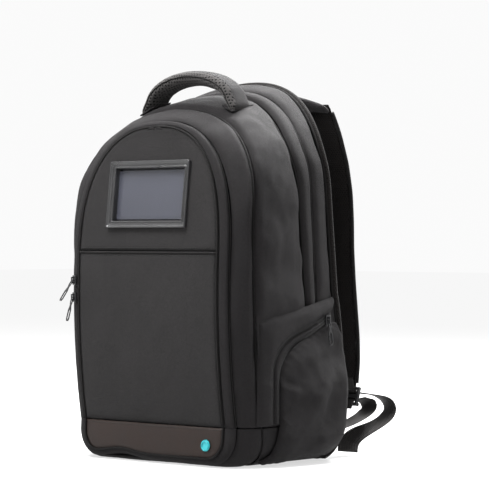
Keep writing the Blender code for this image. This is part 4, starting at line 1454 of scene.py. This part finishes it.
def strap_shape(count=60):
    """The strap's middle line in depth and height, and its half width, from yoke to lower end."""
    line = even(np.array(((0.1195, 0.4325),) + STRAP_LINE), count)
    line[1:-1] = 0.25 * line[:-2] + 0.5 * line[1:-1] + 0.25 * line[2:]
    part = np.linspace(0.0, 1.0, count)
    half = 0.0315 - 0.0050 * np.clip((part - 0.72) / 0.28, 0.0, 1.0) ** 1.5
    return line, half


def make_straps():
    """Padded straps: air mesh inside, smooth cloth outside, bound edges and a webbing spine."""
    line, half = strap_shape()
    count = len(line)
    end = np.minimum(np.arange(count), np.arange(count)[::-1])
    thick = 0.0050 - 0.0020 * np.exp(-end / 1.5)
    for side, sign in SIDES:
        centre = np.concatenate([np.full((count, 1), sign * STRAP_X), line], axis=1)
        strap = padded_sweep(f"strap_padding_{side}", centre, (1, 0, 0), half, thick, 24)
        plumped(strap, 0.0048, 4.0, 0.0030, lambda points, mid=sign * STRAP_X: (
            1 - np.minimum(1.0, np.abs(points[:, 0] - mid) / 0.0300) ** 3))
        two_faced(strap, "shaded_strap_fabric", "mesh", lambda middles, facing: facing[:, 1] < 0.1,
                  [f"shoulder_strap_{side}"])
        swing(strap)
        for tag, edge in (("inner", -1), ("outer", 1)):
            trim = centre.copy()
            trim[:, 0] += edge * (half - 0.0006)
            swing(tube(f"strap_binding_{tag}_{side}", trim[2:], 0.0024, "piping", None))
        spine = webbing_strip(f"strap_spine_{side}", centre[18:-1] + (0, 0.0064, 0.0006), (1, 0, 0), 0.0120)
        link(spine, "webbing", None)
        swing(spine)


def swing(obj):
    """Bakes a strap piece's placement into its mesh."""
    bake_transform(obj)


def webbing_strip(name, line, width_axis, half_width):
    """Flat webbing along a line, rounded at its selvedges."""
    line = even(line, max(30, int(len(line) * 3)))
    for _ in range(3):
        line[1:-1] = 0.25 * line[:-2] + 0.5 * line[1:-1] + 0.25 * line[2:]
    axis = np.asarray(width_axis, float)
    if axis.ndim == 2:
        axis = even(axis, len(line))
    wide, thick = across_and_through(line, axis)
    loop = section_loop(half_width, 0.0008, 16, 6.0)
    across = loop[None, :, :1] * wide[:, None]
    through = loop[None, :, 1:] * thick[:, None]
    return capped(name, line[:, None] + across + through)


RUN_LINE = ((0.1230, 0.1130, 0.0345), (0.1205, 0.1330, 0.0365), (0.1190, 0.1500, 0.0390),
            (0.1175, 0.1680, 0.0430), (0.1165, 0.1850, 0.0480), (0.1150, 0.1990, 0.0540),
            (0.1120, 0.2045, 0.0600), (0.1090, 0.2010, 0.0650), (0.1060, 0.1940, 0.0680))
TAIL_LINE = ((0.1052, 0.1942, 0.0746), (0.1141, 0.2048, 0.0733), (0.1247, 0.2122, 0.0688),
             (0.1333, 0.2151, 0.0619), (0.1379, 0.2131, 0.0536), (0.1383, 0.2058, 0.0452),
             (0.1341, 0.1932, 0.0377), (0.1273, 0.1813, 0.0316), (0.1201, 0.1706, 0.0259),
             (0.1161, 0.1622, 0.0194), (0.1168, 0.1561, 0.0124), (0.1203, 0.1513, 0.0051))
LOCK_PLACE = (0.0950, 0.1840, 0.0710)
LOCK_LEAN = math.radians(-18)
WOVEN_THROUGH = ((-0.0042, -0.0170), (-0.0036, -0.0098), (-0.0010, -0.0052), (0.0036, -0.0012),
                 (0.0044, 0.0006), (0.0034, 0.0026), (-0.0004, 0.0056), (-0.0030, 0.0086), (-0.0030, 0.0120))


def make_webbing():
    """The lower webbing: a slack run from the bag, a ladder lock, and a loose hemmed tail."""
    for side, sign in SIDES:
        flip = np.array([sign, 1, 1])
        run = webbing_strip(f"webbing_slack_run_{side}", np.array(RUN_LINE) * flip, (1, 0, 0), 0.0125)
        link(run, "webbing", None, [f"webbing_run_{side}"])
        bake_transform(run)
        turn = np.clip((np.arange(len(TAIL_LINE)) - 1) / 9, 0.0, 1.0)[:, None]
        across = np.array([0.8, -0.6, 0.0]) * (1 - turn) + np.array([0.75, 0.66, 0.0]) * turn
        tail_line = np.array(TAIL_LINE) * flip
        tail = webbing_strip(f"webbing_loose_tail_{side}", tail_line, across * flip, 0.0125)
        link(tail, "webbing", None, [f"webbing_tail_{side}"])
        hang_tail(tail)
        hem_line = even(tail_line, 60)[-7:]
        hem_side = np.cross(hem_line[-1] - hem_line[0], across[-1] * flip)
        hem_side = hem_side / np.linalg.norm(hem_side) * 0.0017
        hem = webbing_strip(f"webbing_hem_{side}", hem_line + hem_side, (across * flip)[-2:], 0.0124)
        link(hem, "webbing", None)
        hang_tail(hem)
        make_ladder_lock(side, sign)
        woven_through(side, sign)
        loop = np.array([(0.1836, 0.1060), (0.1862, 0.0960), (0.1872, 0.0860), (0.1858, 0.0800),
                         (0.1832, 0.0795), (0.1818, 0.0840), (0.1800, 0.0930), (0.1785, 0.1040)])
        holder = np.concatenate([np.full((8, 1), sign * 0.0930), loop], axis=1)
        strip = webbing_strip(f"lock_loop_{side}", holder, (1, 0, 0), 0.0124)
        link(strip, "webbing", f"shoulder_strap_{side}")


def hang_tail(obj):
    """Bakes a tail piece's placement into its mesh."""
    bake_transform(obj)


def lock_place(sign):
    """Where one ladder lock sits, and how it leans."""
    x, y, z = LOCK_PLACE
    middle = Vector((sign * x, y, z))
    return Matrix.Translation(middle) @ Matrix.Rotation(LOCK_LEAN, 4, "X")


def woven_through(side, sign):
    """The webbing where it passes up through both of the lock's slots."""
    place = lock_place(sign)
    line = np.array([tuple(place @ Vector((0.0, y, z))) for y, z in WOVEN_THROUGH])
    strip = webbing_strip(f"lock_webbing_{side}", line, (1, 0, 0), 0.0124)
    link(strip, "webbing", f"ladder_lock_{side}")


def make_ladder_lock(side, sign):
    """A moulded ladder lock: two rails, three cross bars and a ribbed thumb lip."""
    place = lock_place(sign)
    shape = bmesh.new()
    bars = [((-0.0147, 0, 0), (0.0034, 0.0040, 0.0240)), ((0.0147, 0, 0), (0.0034, 0.0040, 0.0240)),
            ((0, 0, 0.0100), (0.0326, 0.0042, 0.0038)), ((0, 0.0006, 0.0004), (0.0300, 0.0048, 0.0046)),
            ((0, 0.0012, -0.0098), (0.0330, 0.0052, 0.0042))]
    bars += [((-0.0105 + 0.0035 * k, 0.0040, -0.0098), (0.0016, 0.0010, 0.0036)) for k in range(7)]
    for spot, size in bars:
        made = bmesh.ops.create_cube(shape, size=1.0)
        bmesh.ops.scale(shape, vec=size, verts=made["verts"])
        bmesh.ops.translate(shape, vec=spot, verts=made["verts"])
    shape.transform(place)
    data = bpy.data.meshes.new(f"ladder_lock_moulding_{side}")
    shape.to_mesh(data)
    shape.free()
    lock = bpy.data.objects.new(f"ladder_lock_moulding_{side}", data)
    round_off = lock.modifiers.new("round", "BEVEL")
    round_off.width = 0.0007
    round_off.segments = 3
    round_off.limit_method = "ANGLE"
    applied(lock)
    link(lock, "plastic", f"ladder_lock_{side}", [f"ladder_lock_{side}"])


def make_yoke():
    """The patch that the straps are sewn under: plump, hemmed and arched with the bag's top."""
    count = 41
    rings = []
    for x in np.linspace(-0.1168, 0.1168, count):
        high = 0.4510 - 1.60 * x * x
        low = 0.4300 - 0.30 * x * x
        rear = max(float(back_y(high)) + 0.0130, 0.1060)
        end = 1.0 - 0.35 * math.exp(-(0.1168 - abs(x)) / 0.003)
        top = np.array([x, rear + 0.0025, high])
        base = np.array([x, 0.1225, low - 0.0030])
        run = base - top
        length = np.linalg.norm(run)
        run = run / length
        normal = np.cross(np.array([1.0, 0.0, 0.0]), run)
        loop = section_loop(length / 2, 0.0034 * end, 20, 3.2)
        rings.append((top + base) / 2 + loop[:, :1] * run + loop[:, 1:] * normal)
    patch = capped("yoke_patch", rings)
    smooth = patch.modifiers.new("smooth", "SUBSURF")
    smooth.levels = 1
    link(patch, "gusset_fabric", "bag", ["yoke"])


# ---------------------------------------------------------------- inside of the bag


def inner_sheet(name, seam, depth, shift, high, replaced, puff, seed):
    """A sheet of lining inside one seam, puffed out between its sewn edges."""
    points = panel_points(seam, 0.004, high, 60, 41, 0.0, depth)
    gap = border_distance(points, 0.004, high, seam)
    points[..., 1] += shift - puff * (1 - np.exp(-np.maximum(gap, 0.0) / 0.012))
    points[..., 1] += ripples(points, 0.0012, 14.0, seed)
    return link(sheet(name, points, forward, rounds=0), "lining", "bag", [replaced])


def make_inside():
    """The front pocket's lining, the laptop divider and the battery's sleeve."""
    inner_sheet("front_pocket_lining", PIPED.inset(0.0045), piped_y, 0.0045, PIPED.top - 0.006,
                "front_pocket_back_wall", 0.0012, 41)
    inner_sheet("laptop_divider_padding", BACK.inset(0.0080), mouth_rear_y, 0.0070, BACK.spring - 0.002,
                "laptop_divider", 0.0016, 42)
    low, high = (np.array(corner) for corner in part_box("battery_sleeve"))
    middle = (low + high) / 2
    half_x, half_y = ((high - low) / 2 - 0.0002)[:2]
    outline = rounded_rectangle(half_x, half_y, 0.0040, 5, 12)
    rows = []
    for share in np.linspace(0.0, 1.0, 15):
        puff = 0.0004 * math.sin(math.pi * share)
        z = lerp(low[2] + 0.0004, high[2], share)
        rows.append([(middle[0] + x * (1 + 4 * puff), middle[1] + y, z) for x, y in outline])
    sleeve = sheet("battery_sleeve_cloth", rows, lambda points: points - middle, 0.0010, 0, closed_v=True)
    link(sleeve, "lining", "bag", ["battery_sleeve"])
    rim = [(middle[0] + x, middle[1] + y, high[2] - 0.0016) for x, y in outline]
    tube("battery_sleeve_hem", rim, 0.0011, "piping", "bag", closed=True)


# ---------------------------------------------------------------- carried-over CAD nodes

KEPT = {
    "badge": "badge",
    "window_film": "clear_film",
    "solar_laminate": "solar_cell",
    "solar_backing": "board",
    "solar_lead_upper": "lead",
    "solar_lead_lower": "lead",
    "junction_box": "plastic",
    "lead_plug": "plastic",
    "battery_case_front": "plastic",
    "battery_case_rear": "plastic",
    "battery_cell": "cell_wrap",
    "charge_board": "circuit",
    "power_button": "plastic",
}


def finish_kept_nodes():
    """Better materials for the CAD nodes that stay as they are."""
    for name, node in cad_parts.items():
        finish = KEPT.get(name)
        if finish is None and name.startswith(("slider_", "pull_")):
            finish = "zip_metal"
        if finish is None:
            continue
        for slot in node.material_slots:
            slot.material = MATERIALS[finish]


# ---------------------------------------------------------------- the whole scene

make_stage()
MATERIALS = make_materials()
make_walls()
make_piping()
make_seam_tapes()
make_front_zip()
make_cover()
make_window()
make_side_pockets()
make_back()
make_handle()
make_straps()
make_yoke()
make_webbing()
make_inside()
finish_kept_nodes()
